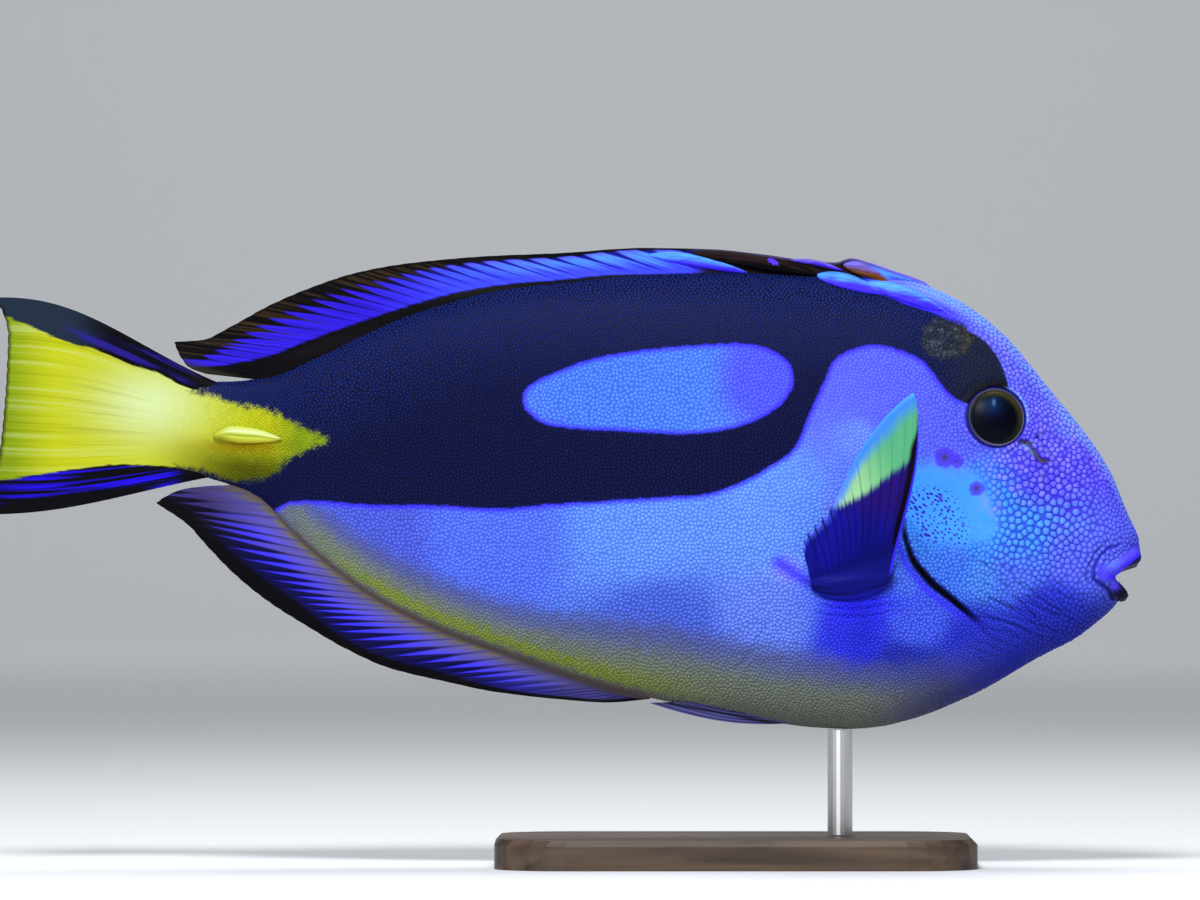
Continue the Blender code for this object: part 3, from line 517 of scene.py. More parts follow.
def line_distance(line, x, z):
    """Distance from each point to an open line of points."""
    nearest = np.full(np.shape(x), np.inf)
    for (ax, az), (bx, bz) in zip(line[:-1], line[1:]):
        dx, dz = bx - ax, bz - az
        t = np.clip(((x - ax) * dx + (z - az) * dz) / (dx * dx + dz * dz), 0, 1)
        nearest = np.minimum(nearest, (x - ax - t * dx) ** 2 + (z - az - t * dz) ** 2)
    return np.sqrt(nearest)


def depth_inside(outline, x, z):
    """Distance from each point to a closed outline: positive inside, negative outside."""
    closed = np.vstack([outline, outline[:1]])
    inside = np.zeros(np.shape(x), bool)
    for (ax, az), (bx, bz) in zip(closed[:-1], closed[1:]):
        if az != bz:
            inside ^= ((az > z) != (bz > z)) & (x < ax + (z - az) * (bx - ax) / (bz - az))
    return np.where(inside, 1, -1) * line_distance(closed, x, z)


def mix(first, second, share):
    """Rows of colours blended from first to second by a share of each row."""
    share = np.clip(share, 0, 1)[:, None]
    return first * (1 - share) + second * share


def flesh_half_width(x, z):
    """Half width of the smooth body at a point of its side view, with a rounded keel."""
    level = np.clip((z - belly(x)) / (back(x) - belly(x)), 0, 1)
    above = level > WIDEST_LEVEL
    away = np.where(above, (level - WIDEST_LEVEL) / (1 - WIDEST_LEVEL), 1 - level / WIDEST_LEVEL)
    on_head = ramp(x, *HEAD_FORM_X)
    back_rounding = TORSO_BACK_ROUNDING + (HEAD_BACK_ROUNDING - TORSO_BACK_ROUNDING) * on_head
    rounding = np.where(above, back_rounding, BELLY_ROUNDING)
    keel = KEEL * np.sqrt(1 - away**KEEL_ROUNDNESS)
    return keel + (widest(x) - KEEL) * (1 - away**2) ** rounding


def tail_thinning(x):
    """Share of the half width that is left where the flesh runs out into the tail fin."""
    return 0.08 + 0.92 * ramp(x, SKIN_REAR_X, TAIL_ROOT_X + 2)


def from_gill(x, z):
    """Distance ahead of the gill opening, measured across it."""
    slope = (gill(z + 0.05) - gill(z - 0.05)) / 0.1
    return (x - gill(z)) / np.sqrt(1 + slope**2)


def slit_half(z):
    """Half width of the gill slit at a height: widest at its middle."""
    return SLIT_HALF * (0.45 + 0.65 * bell(z - 57, 6))


def gill_form(x, z):
    """The raised gill cover, and the dip and the slit behind its edge."""
    free = band(z, *GILL_LIFT_LEVELS)
    ahead = x - gill(z)
    cover = ramp(from_gill(x, z), -0.1, 0.8)
    lift = GILL_LIFT * bell(ahead, GILL_LIFT_REACH) * cover
    dip = GILL_DIP * bell(ahead, GILL_DIP_REACH) * (1 - cover)
    slit = SLIT_DEPTH * band(z, *SLIT_LEVELS) * bell(from_gill(x, z), slit_half(z))
    return free * (lift - dip) - slit


def from_eye(x, z):
    """Distance from the middle of the eye in the side view."""
    return np.hypot(x - EYE_AT[0], z - EYE_AT[1])


def wrinkles(x, z):
    """Fine folds of the throat and round the mouth."""
    total = np.zeros(np.shape(x))
    for line in THROAT_FOLDS:
        total += 0.34 * bell(line_distance(line, x, z), 0.36)
    return total


def throat_waves(x, z):
    """Troughs of the wavy skin of the throat and lower cheek, from 0 to 1."""
    drift = side_cloud(x, z, 3.0, 13) + 0.4 * side_cloud(x, z, 1.3, 14)
    across = 0.45 * (x - 90) + 0.89 * (z - 56) + 0.7 * drift
    place = band(x, 80, 86, 100, 107) * (1 - ramp(z + 0.45 * (x - 90), 59, 64)) * ramp(z - belly(x), 3, 8)
    return place * ramp(np.sin(2 * math.pi * across / 1.75), 0.1, 1.0)


def pectoral_folds(x, z):
    """Curved folds of skin under the root of the pectoral fin, and the pad that they lie on."""
    across = (x - 59.4) / 9.5
    total = -0.5 * bell(np.hypot(across * 1.1, (z - 56.5) / 4.5), 1.0)
    for k in range(4):
        low = 56.0 - 1.35 * k - (1.2 + 0.3 * k) * (1 - across**2)
        total += 0.28 * bell(z - low, 0.36) * (1 - ramp(np.abs(across), 0.55, 0.95))
    return total


def relief(x, z):
    """How far the skin stands out from the smooth flesh in each point of the side view."""
    out = gill_form(x, z)
    eye = from_eye(x, z)
    out -= 2.6 * (1 - ramp(eye, EYE_SHOWS - 0.3, EYE_SHOWS + 0.35))
    out += 0.3 * bell(eye - EYE_SHOWS - 0.7, 0.4) - 0.2 * bell(eye - EYE_SHOWS - 2.0, 0.5)
    groove = line_distance(NOSTRIL_GROOVE, x, z)
    out += 0.15 * bell(groove - 0.95, 0.4) - 0.55 * bell(groove, 0.42)
    for px, pz, radius in NOSTRIL_PORES:
        away = np.hypot(x - px, z - pz)
        out += 0.18 * bell(away - 1.7 * radius, 0.3) - 0.5 * bell(away, radius)
    out -= 0.4 * bell(line_distance(LIP_FOLD, x, z), 0.34)
    out -= 0.5 * bell(line_distance(CORNER_FOLD, x, z), 0.36)
    out -= 0.7 * wrinkles(x, z) + 0.13 * throat_waves(x, z)
    out -= pectoral_folds(x, z)
    out -= 0.22 * bell(line_distance(BELLY_CREASE, x, z), 0.5)
    return out


def blue_field(x, z):
    """The blues of the body, blended from broad patches."""
    total = np.zeros((len(x), 3))
    weights = np.full(len(x), 1e-9)
    for px, pz, reach, patch in BLUE_PATCHES:
        weight = 1 / (0.15 + ((x - px) ** 2 + (z - pz) ** 2) / reach**2) ** 3
        total += weight[:, None] * patch
        weights += weight
    return total / weights[:, None]


BLACK_BAND_LINE = closed_curve(BLACK_BAND)
BLUE_OVAL_LINE = closed_curve(BLUE_OVAL)
YELLOW_LINE = closed_curve(YELLOW_TAIL)
SCAR_LINE = closed_curve(SCAR)
COVER_LINE = closed_curve(COVER)


def smooth_cover(x, z):
    """1 on the part of the gill cover that has no raised scales."""
    drift = side_cloud(x, z, 1.6, 12)
    return ramp(depth_inside(COVER_LINE, x, z) + 0.9 * drift, -0.9, 0.9)


def tail_yellow(x, z):
    """The yellow of the tail: palest at the fin's root, painted shade below it, and greener at both ends."""
    tint = mix(YELLOW, PALE_YELLOW, 0.95 * oval(x, z, (-81, 92.5), 10, 7))
    # painted shade: darker on the lower side of the tail's root
    tint = mix(tint, DARK_YELLOW, 0.95 * ramp(x, -84, -62) * (1 - ramp(z + 0.12 * (x + 65), 79.5, 87)))
    # painted shadow of the blade on the skin below it
    tint = mix(tint, BLADE_SHADE, 0.95 * oval(x, z, (-61.5, 84.0), 8, 1.4))
    return mix(tint, GREEN_YELLOW, 0.8 * ramp(x, -58, -50) + 0.9 * (1 - ramp(x, -111.5, -99)))


def lip_share(x, z):
    """1 on the smooth edge of the upper lip, 0 above it and behind the fold that bounds it."""
    ahead = ramp(x - smooth(UPPER_LIP_REAR)(z), 0.2, 0.8)
    return ahead * (1 - ramp(z - smooth(UPPER_LIP_LINE)(x), 2.4, 3.6))


def blue_tint(points, rise, wobble):
    """The blue skin: a painted highlight on the brow, granules on the snout, and dark grooves between the
    scales.
    """
    x, _, z = points.T
    shallow = 1 - rise
    from_back = z - back(x)
    tint = blue_field(x, z)
    # painted highlight: the brow paler where the light from above catches the head's top edge
    brow = ramp(from_back, -3.6, -0.6) * ramp(x, 66, 76) * (1 - ramp(x, 110, 117))
    tint = mix(tint, PALE_HIGHLIGHT_BLUE, 0.75 * brow)
    snout = ramp(x, 82, 90) * ramp(z, 52, 60)
    slanted = z - 0.3 * (x - SNOUT_MIDDLE[0])
    lower_snout = oval(x, slanted, SNOUT_MIDDLE, 9.5, 5.5)
    tint = mix(tint, SNOUT_SKY, 0.75 * lower_snout * ramp(rise + 0.5 * wobble, 0.4, 1.1))
    upper_snout = snout * ramp(slanted, 70, 75)
    tint = mix(tint, SNOUT_LILAC, 0.7 * upper_snout * ramp(rise + 0.7 * wobble, 0.6, 1.4))
    in_oval = ramp(depth_inside(BLUE_OVAL_LINE, x, z), 0, 1)
    ridge = band(x, 58, 62, 78, 85) * ramp(from_back, -8.5, -6.5)
    silky = oval(x, z, (60, 86), 18, 15)
    grooved = (0.74 + 0.16 * ramp(x, 40, 70) + 0.1 * in_oval) * (1 - 0.6 * ridge) * (1 - 0.5 * silky)
    # the grooves between the scales painted darker: partly their own colour, partly painted shade
    tint = mix(tint, GROOVE_BLUE, grooved * shallow * (1 - snout))
    lines = np.sin(7.5 * from_back + 1.5 * cloud(points * [0.25, 0.25, 1.0], 1.2, 15))
    lined = 0.35 * ramp(lines, 0.2, 0.9) + 0.6 * (1 - ramp(from_back, -3.4, -1.6))
    tint = mix(tint, ROYAL_BLUE, ridge * lined)
    # the snout's grooves painted dark violet: partly their own colour, partly painted shade
    tint = mix(tint, GROOVE_VIOLET, 0.97 * shallow * snout)
    specks = ramp(cloud(points, 0.8, 91), 0.45, 0.7) * oval(x, z, (95.5, 84), 4.5, 7)
    return mix(tint, OLIVE, 0.7 * specks)


def add_belly(tint, x, z, wobble, fine):
    """The slate, grey and lime bands of the belly, its brown keel, and the shade under the throat."""
    height = z - belly(x)
    along = band(x, -66, -46, 62, 92)
    reach = 8.0 + 4.4 * band(x, -15, 22, 48, 78)
    tint = mix(tint, BELLY_SLATE, 0.85 * along * (1 - ramp(height + 0.7 * wobble, reach, reach + 5)))
    low = 0.9 * along * (1 - ramp(height + 0.7 * wobble, 0.5 * reach, reach + 1))
    tint = mix(tint, mix(OLIVE, BELLY_GREY, ramp(x, 58, 76)), low)
    lime = band(height + 0.7 * wobble + 0.5 * fine, 0.9, 1.8, 2.8, 4.6 + 3 * ramp(x, -5, 20))
    tint = mix(tint, BELLY_LIME, 0.85 * lime * band(x, -50, -34, 6, 42))
    keel = along * (1 - ramp(height + 0.1 * wobble, 0.3, 1.7)) * (1 - ramp(x, 16, 24))
    tint = mix(tint, BELLY_BROWN, 0.85 * keel)
    shade = (1 - ramp(height, 0, 12)) * ramp(x, 60, 80)
    return tint * (1 - 0.50 * shade)[:, None]


def add_black_band(tint, x, z, rise, wobble, fine):
    """The black band round the blue oval, with a painted navy sheen, darker grooves and a royal blue border.
    """
    black = np.minimum(depth_inside(BLACK_BAND_LINE, x, z), -depth_inside(BLUE_OVAL_LINE, x, z))
    black += 0.12 * fine + 0.12 * wobble
    # painted sheen on the scales' tops, strongest near the back, where the light from above falls
    sheen = 0.25 + 0.75 * ramp(z - back(x), -24, -3)
    dark = mix(NAVY, NAVY_SHEEN, sheen * ramp(rise, 0.3, 1.0))
    # the grooves between the scales darker: partly their own colour, partly painted shade
    dark = mix(dark, BLACK, 0.5 * (1 - rise))
    dark = mix(dark, BROW_SLATE, 0.8 * ramp(x, 74, 84))
    dark = mix(dark, BLACK, 0.75 * bell(from_eye(x, z) - EYE_SHOWS - 0.9, 0.9))
    tint = mix(tint, ROYAL_BLUE, 0.85 * ramp(black, -1.3, -0.1) * (1 - ramp(x, 78, 84)))
    return mix(tint, dark, ramp(black, -0.2, 0.2))


def add_tail_root(tint, x, z, rise, wobble, fine):
    """The yellow of the tail's root, with a ragged edge, and grained where it has scales."""
    yellow = depth_inside(YELLOW_LINE, x, z) + 0.35 * wobble + 0.5 * fine - 0.5 * (1 - rise)
    grained = ramp(x, -74, -54)
    # the grooves between the scales darker: partly their own colour, partly painted shade
    lit = tail_yellow(x, z) * (1 + grained * (0.06 * wobble + 0.22 * (rise - 0.8)))[:, None]
    return mix(tint, lit, ramp(yellow, -0.8, 0.8))


def add_eye_rim_highlight(tint, x, z):
    """A painted highlight on the upper front edge of the skin round the eye."""
    rim = bell(from_eye(x, z) - EYE_SHOWS - 0.5, 0.22)
    rim *= ramp(0.5 * (x - EYE_AT[0]) + (z - EYE_AT[1]), 0.5, 3.5)
    return mix(tint, PALE_HIGHLIGHT_BLUE, 0.7 * rim * ramp(x, 89.4, 91.0))


def add_scar(tint, points, rise, wobble):
    """The scar behind the brow: slate, with umber and grey specks, and a brown crack."""
    x, _, z = points.T
    scar = depth_inside(SCAR_LINE, x, z) + 0.8 * wobble
    # the scar darker in the grooves between the scales: partly painted shade
    tint = mix(tint, SCAR_SLATE * (0.5 + 0.7 * rise)[:, None], 0.85 * ramp(scar, -0.6, 0.8))
    tint = mix(tint, SCAR_UMBER, 0.6 * ramp(scar, 0.0, 1.4) * ramp(x + 0.8 * wobble, 78.5, 81.5) * rise)
    specks = ramp(0.7 * wobble + cloud(points, 0.4, 17), -0.1, 1.0)
    tint = mix(tint, SCAR_GREY, 0.55 * ramp(scar, 0.0, 1.6) * specks * rise)
    return mix(tint, NOSTRIL_BROWN * 0.7, 0.45 * bell(line_distance(SCAR_CRACK, x, z), 0.35))


def add_cheek_spots(tint, x, z, wobble):
    """Violet spots with grey cores."""
    for px, pz, radius, core in CHEEK_SPOTS:
        away = np.hypot(x - px, z - pz) + 0.22 * wobble
        tint = mix(tint, SPOT_VIOLET, 0.85 * (1 - ramp(away, 0.8 * radius, radius)))
        tint = mix(tint, SPOT_CORE, 0.85 * (1 - ramp(away, 0.4 * core, 1.3 * core)))
    return tint


def add_nostril(tint, x, z, wobble, fine):
    """The brown groove of the nostril, its lit edge, and the pore above it."""
    groove = line_distance(NOSTRIL_GROOVE, x, z) + 0.15 * wobble
    tint = mix(tint, GROOVE_VIOLET * 0.5, 0.6 * (1 - ramp(groove, 0.4, 0.9)))
    tint = mix(tint, NOSTRIL_BROWN, 0.85 * (1 - ramp(groove + 0.2 * fine, 0.1, 0.5)))
    # painted highlight along the lit edge of the groove
    tint = mix(tint, PALE_HIGHLIGHT_BLUE, 0.6 * bell(line_distance(NOSTRIL_LIT_EDGE, x, z), 0.28))
    for px, pz, radius in NOSTRIL_PORES:
        away = np.hypot(x - px, z - pz)
        tint = mix(tint, GROOVE_VIOLET * 0.3, 0.8 * (1 - ramp(away, 0.4 * radius, 1.3 * radius)))
    return tint


def add_gill_slit(tint, x, z):
    """The slit behind the gill cover, painted dark as the shade in the opening, and the deep blue skin beside
    it.
    """
    slit = band(z, *SLIT_LEVELS)
    gap = from_gill(x, z)
    tint = mix(tint, ROYAL_BLUE, 0.8 * slit * bell(gap + 1.6, 0.8))
    # painted shade inside the slit
    return mix(tint, BROWN_BLACK * 0.4, slit * (1 - ramp(np.abs(gap) / slit_half(z), 0.8, 1.6)))


def add_mouth(tint, points, wobble, fine):
    """Violet lips with a painted highlight, and painted shade in their creases, the mouth, and the folds
    behind them; a black jaw tip.
    """
    x, y, z = points.T
    lip = lip_share(x, z) * ramp(z, 57.0, 58.0)
    # painted highlight on the upper lip
    lit_lip = bell(np.hypot(x - LIT_LIP_AT[0], z - LIT_LIP_AT[1]), 1.5)
    tint = mix(tint, mix(STREAK_VIOLET, SNOUT_SKY, 0.8 * lit_lip), 0.8 * lip)
    # painted shade in the lips' fine creases
    creases = np.sin(6.0 * (x - 0.8 * z) + 2.0 * cloud(points, 0.9, 16))
    tint *= (1 - 0.28 * lip * ramp(creases, 0.1, 0.9))[:, None]
    mouth_side = ramp(x, 109.4, 110.6)
    above_line = z - smooth(UPPER_LIP_LINE)(x)
    tint = mix(tint, ROYAL_BLUE, 0.9 * mouth_side * band(above_line, -0.8, 0.0, 0.3, 1.1))
    # the opening between the lips, painted black as shade
    opening = (1 - ramp(above_line + 0.25 * fine, -0.4, 0.1)) * ramp(z, 57.2, 57.8)
    tint = mix(tint, BLACK, 0.94 * mouth_side * opening)
    jaw_tip = ramp(x + 0.55 * (z - 55), 110.7, 111.5) * (1 - ramp(z, 56.2, 57.0))
    tint = mix(tint, BLACK, 0.94 * jaw_tip)
    tint = mix(tint, STREAK_VIOLET, 0.9 * oval(x, z, (111.7, 56.0), 1.0, 0.75))
    fold = np.minimum(line_distance(LIP_FOLD, x, z), line_distance(CORNER_FOLD, x, z) * 0.8)
    # painted shade in faint wrinkles round the lip fold
    rings = ramp(np.sin(6.3 * fold + 0.6 * wobble), 0.0, 0.9) * band(fold, 0.5, 0.9, 1.6, 3.2)
    rings *= ramp(z - 0.4 * (x - 108), 57, 60)
    tint *= (1 - 0.3 * rings * (1 - lip))[:, None]
    # painted shade in the folds behind the lips, darkest near the jaw
    depth = (0.6 + 0.3 * ramp(x - z, 50.0, 52.5)) * (1 - ramp(fold + 0.1 * wobble, 0.05, 0.55))
    tint = mix(tint, mix(GROOVE_VIOLET * 0.6, BLACK, ramp(x - z, 52.0, 54.5)), depth)
    # the inside of the mouth, painted black as shade
    inside = ramp(x, 109.6, 110.6) * (1 - ramp(np.abs(y), 3.0, 4.0)) * band(z, 55.6, 56.2, 59.4, 60.2)
    return mix(tint, BLACK, inside)


def add_armpit(tint, x, z, wobble):
    """The shade round the root of the pectoral fin, and the navy pad that it grows from."""
    tint = mix(tint, ARMPIT_BLUE, 0.8 * oval(x, z, (60.0, 53.4), 9.0, 3.8))
    streak_down = bell(x - 61.8 + 0.1 * (54 - z), 2.4) * band(z, 37, 47, 50, 56)
    tint = mix(tint, ARMPIT_SHADE, 0.65 * streak_down)
    tint = mix(tint, ROYAL_BLUE, 0.85 * bell(line_distance(ARMPIT_CREASE, x, z), 1.4))
    pad = 1 - ramp(np.hypot((x - 59.0) / 9.0, (z - 57.0) / 4.0) + 0.04 * wobble, 0.8, 1.15)
    return mix(tint, PECTORAL_NAVY, 0.85 * pad)


def skin_tint(points, rise):
    """Colour of the skin at points; rise is 0 in the grooves between scales and 1 on their tops."""
    x, _, z = points.T
    wobble = cloud(points, 1.1, 3)
    fine = cloud(points, 0.5, 4)
    tint = blue_tint(points, rise, wobble)
    tint = add_belly(tint, x, z, wobble, fine)
    tint = add_black_band(tint, x, z, rise, wobble, fine)
    tint = add_tail_root(tint, x, z, rise, wobble, fine)
    tint = add_eye_rim_highlight(tint, x, z)
    tint = add_scar(tint, points, rise, wobble)
    tint = add_cheek_spots(tint, x, z, wobble)
    tint = add_nostril(tint, x, z, wobble, fine)
    tint = add_gill_slit(tint, x, z)
    tint = add_mouth(tint, points, wobble, fine)
    tint = add_armpit(tint, x, z, wobble)
    # painted shade in the troughs of the throat's waves and in its folds
    tint *= (1 - 0.22 * throat_waves(x, z) - 0.26 * ramp(wrinkles(x, z), 0.08, 0.34))[:, None]
    tint *= (1 + (0.05 * wobble + 0.04 * fine) * (0.2 + 0.8 * ramp(x, -72, -56)))[:, None]
    return np.clip(tint, 0, 1)


def fast_mesh(name, points, faces, look, tint=None, fields=()):
    """A smooth-shaded object from points in millimetres, with a colour and named numbers for each point."""
    mesh = bpy.data.meshes.new(name)
    mesh.from_pydata((np.asarray(points) * MM).tolist(), [], faces)
    mesh.shade_smooth()
    if tint is not None:
        layer = mesh.attributes.new("tint", "FLOAT_COLOR", "POINT")
        opaque = np.column_stack([tint, np.ones(len(tint))])
        layer.data.foreach_set("color", opaque.astype(np.float32).ravel())
    for field, values in fields:
        layer = mesh.attributes.new(field, "FLOAT", "POINT")
        layer.data.foreach_set("value", np.asarray(values, np.float32))
    mesh.materials.append(look)
    made = bpy.data.objects.new(name, mesh)
    bpy.context.scene.collection.objects.link(made)
    return made


def grid_faces(rows, columns, wrap=False):
    """Quads of a grid of points, whose columns may close into rings."""
    index = np.arange(rows * columns).reshape(rows, columns)
    after = np.roll(index, -1, axis=1)
    if not wrap:
        index, after = index[:, :-1], after[:, :-1]
    quads = np.stack([index[:-1], after[:-1], after[1:], index[1:]], -1)
    return quads.reshape(-1, 4).tolist()


def tube_faces(rings, sides):
    """Quads of a tube of rings of points, and a face at each of its ends."""
    last = (rings - 1) * sides
    ends = [list(range(sides))[::-1], list(range(last, last + sides))]
    return grid_faces(rings, sides, wrap=True) + ends


def flesh_tube():
    """The closed, smooth body, as rings of points from the tail to the nose."""
    x = np.concatenate([np.arange(SKIN_REAR_X, 60, 0.9), np.arange(60, NOSE_X, 0.5), [NOSE_X]])[:, None]
    turn = np.linspace(0, math.pi, 60)
    level = ((1 - np.cos(turn)) / 2)[None, :]
    narrowing = 0.86 + 0.14 * ramp(x, SKIN_REAR_X, TAIL_ROOT_X)
    z = belly(x) + (back(x) - belly(x)) * (0.5 + (level - 0.5) * narrowing)
    half = np.maximum(flesh_half_width(x, z) - SKIN_DEPTH * ramp(level * (1 - level), 0, 0.02), 0)
    half *= tail_thinning(x)
    near = np.stack([x + 0 * z, -half, z], 2)
    far = np.stack([x + 0 * z, half, z], 2)[:, -2:0:-1]
    rings = np.concatenate([near, far], 1)
    return rings.reshape(-1, 3), tube_faces(*rings.shape[:2])


def lip_tube(corner, front, thickness):
    """A lip that runs from one corner of the mouth round the front to the other, as a closed tube."""
    turns = np.linspace(-1, 1, LIP_STEPS)
    share = np.cos(turns * math.pi / 2)
    x = corner[0] + (front[0] - corner[0]) * share
    z = corner[1] + (front[1] - corner[1]) * share
    y = np.sign(np.round(turns, 3)) * (flesh_half_width(x, z) - LIP_SINK)
    radius = thickness * (0.5 + 0.5 * share)
    line = np.stack([x, y, z], 1)
    ahead = np.gradient(line, axis=0)
    across = np.cross(ahead, (0, 0, 1))
    across /= np.linalg.norm(across, axis=1, keepdims=True)
    up = np.cross(across, ahead)
    up /= np.linalg.norm(up, axis=1, keepdims=True)
    angles = np.linspace(0, 2 * math.pi, LIP_SIDES, endpoint=False)[None, :, None]
    outwards = np.cos(angles) * across[:, None] + np.sin(angles) * up[:, None]
    rings = line[:, None] + radius[:, None, None] * outwards
    return rings.reshape(-1, 3), tube_faces(LIP_STEPS, LIP_SIDES)


def mouth_wedge():
    """The space between the jaws."""
    count = len(MOUTH_GAP)
    points = [(x, side * MOUTH_HALF_SPAN, z) for side in (-1, 1) for x, z in MOUTH_GAP]
    faces = [list(range(count)), list(range(2 * count - 1, count - 1, -1))]
    for k in range(count):
        after = (k + 1) % count
        faces.append([k, k + count, after + count, after])
    return points, faces


def outward(obj):
    """Turns an object's faces outwards."""
    work = bmesh.new()
    work.from_mesh(obj.data)
    bmesh.ops.recalc_face_normals(work, faces=work.faces)
    work.to_mesh(obj.data)
    work.free()
    return obj


def boolean(target, tools, operation):
    """Adds a step to an object that joins tools to it, or cuts them out of it."""
    group = bpy.data.collections.new(operation.lower())
    for tool in tools:
        bpy.context.scene.collection.objects.unlink(tool)
        group.objects.link(tool)
    bpy.context.scene.collection.children.link(group)
    step = target.modifiers.new(operation, "BOOLEAN")
    step.operation = operation
    step.operand_type = "COLLECTION"
    step.collection = group
    step.solver = "EXACT"
    return group


def rows_of(items, name):
    """A value of three numbers of each of a mesh's items, as rows of an array."""
    values = np.empty(len(items) * 3, np.float32)
    items.foreach_get(name, values)
    return values.reshape(-1, 3).astype(float)


def rebuilt_skin():
    """Points and quads of the whole skin: flesh and lips in one, cut open at the mouth, evenly meshed."""
    plain = bpy.data.materials.new("plain")
    whole = outward(fast_mesh("flesh", *flesh_tube(), plain))
    lips = [outward(fast_mesh("lip", *lip_tube(*lip), plain)) for lip in (UPPER_LIP, LOWER_LIP)]
    wedge = outward(fast_mesh("wedge", *mouth_wedge(), plain))
    groups = [boolean(whole, lips, "UNION"), boolean(whole, [wedge], "DIFFERENCE")]
    even = whole.modifiers.new("even", "REMESH")
    even.mode = "VOXEL"
    even.voxel_size = VOXEL * MM
    result = whole.evaluated_get(bpy.context.evaluated_depsgraph_get())
    mesh = bpy.data.meshes.new_from_object(result)
    points = rows_of(mesh.vertices, "co") / MM
    faces = [list(polygon.vertices) for polygon in mesh.polygons]
    for tool in lips + [wedge, whole]:
        bpy.data.objects.remove(tool)
    for group in groups:
        bpy.data.collections.remove(group)
    bpy.data.meshes.remove(mesh)
    bpy.data.materials.remove(plain)
    return points, faces


def edge_pairs(faces):
    """Each pair of neighbouring points once, as an array."""
    quads = np.array([face if len(face) == 4 else face + face[-1:] for face in faces])
    pairs = np.concatenate([quads[:, [0, 1]], quads[:, [1, 2]], quads[:, [2, 3]], quads[:, [3, 0]]])
    pairs = np.sort(pairs, axis=1)
    pairs = pairs[pairs[:, 0] != pairs[:, 1]]
    return np.unique(pairs, axis=0)


def relax(points, pairs, rounds):
    """Evens out the steps of a mesh, without shrinking it."""
    ends = np.concatenate([pairs, pairs[:, ::-1]])
    count = np.bincount(ends[:, 0], minlength=len(points))[:, None]
    for _ in range(rounds):
        for strength in (0.55, -0.57):
            sums = np.stack([
                np.bincount(ends[:, 0], points[ends[:, 1], axis], len(points)) for axis in range(3)
            ], 1)
            points = points + strength * (sums / count - points)
    return points


def node(tree, kind, **values):
    """A shader node, with values set on its named inputs or on the node itself."""
    made = tree.nodes.new(kind)
    for key, value in values.items():
        if key in made.inputs:
            made.inputs[key].default_value = value
        else:
            setattr(made, key, value)
    return made


def new_material(name, **settings):
    """A material and its Principled shader."""
    made = bpy.data.materials.new(name)
    made.use_nodes = True
    shader = made.node_tree.nodes["Principled BSDF"]
    for key, value in settings.items():
        shader.inputs[key.replace("_", " ")].default_value = value
    return made, made.node_tree, shader


def link(source, output, target, socket):
    """Feeds a node's output into another node."""
    source.id_data.links.new(source.outputs[output], target.inputs[socket])


def add_bump(source, output, shader, strength, distance):
    """Lets a node's output raise the surface; distance is in millimetres."""
    bump = node(source.id_data, "ShaderNodeBump", Strength=strength, Distance=distance * MM)
    link(source, output, bump, "Height")
    link(bump, "Normal", shader, "Normal")


def skin_material():
    """Skin and scales: the painted tint, fine grain, and violet pits on the smooth gill cover."""
    made, tree, shader = new_material("skin", Roughness=0.45, Specular_IOR_Level=0.045)
    tint = node(tree, "ShaderNodeAttribute", attribute_name="tint")
    where = node(tree, "ShaderNodeTexCoord")
    grain = node(tree, "ShaderNodeTexNoise", Scale=3200.0, Detail=3.0)
    link(where, "Object", grain, "Vector")
    shade = node(tree, "ShaderNodeMapRange")
    shade.inputs["To Min"].default_value = 0.86
    shade.inputs["To Max"].default_value = 1.12
    link(grain, "Fac", shade, "Value")
    grained = node(tree, "ShaderNodeVectorMath", operation="SCALE")
    link(tint, "Color", grained, 0)
    link(shade, "Result", grained, "Scale")
    slant = node(tree, "ShaderNodeMapping", vector_type="TEXTURE")
    slant.inputs["Rotation"].default_value = (math.pi / 2, 0.6, 0.0)
    slant.inputs["Scale"].default_value = (1.7, 1.0, 1.0)
    pits = node(tree, "ShaderNodeTexVoronoi", voronoi_dimensions="2D", Scale=1350.0, Randomness=0.75)
    link(where, "Object", slant, "Vector")
    link(slant, "Vector", pits, "Vector")
    pitted = node(tree, "ShaderNodeAttribute", attribute_name="pored")
    size = node(tree, "ShaderNodeMath", operation="MULTIPLY")
    link(pitted, "Fac", size, 0)
    size.inputs[1].default_value = PIT_SIZE
    spot = node(tree, "ShaderNodeMath", operation="LESS_THAN")
    link(pits, "Distance", spot, 0)
    link(size, "Value", spot, 1)
    spotted = node(tree, "ShaderNodeMix", data_type="RGBA")
    spotted.inputs["B"].default_value = (*PIT_VIOLET, 1.0)
    link(spot, "Value", spotted, "Factor")
    link(grained, "Vector", spotted, "A")
    link(spotted, "Result", shader, "Base Color")
    dented = node(tree, "ShaderNodeMath", operation="SUBTRACT")
    link(grain, "Fac", dented, 0)
    link(spot, "Value", dented, 1)
    add_bump(dented, "Value", shader, 0.35, 0.08)
    return made


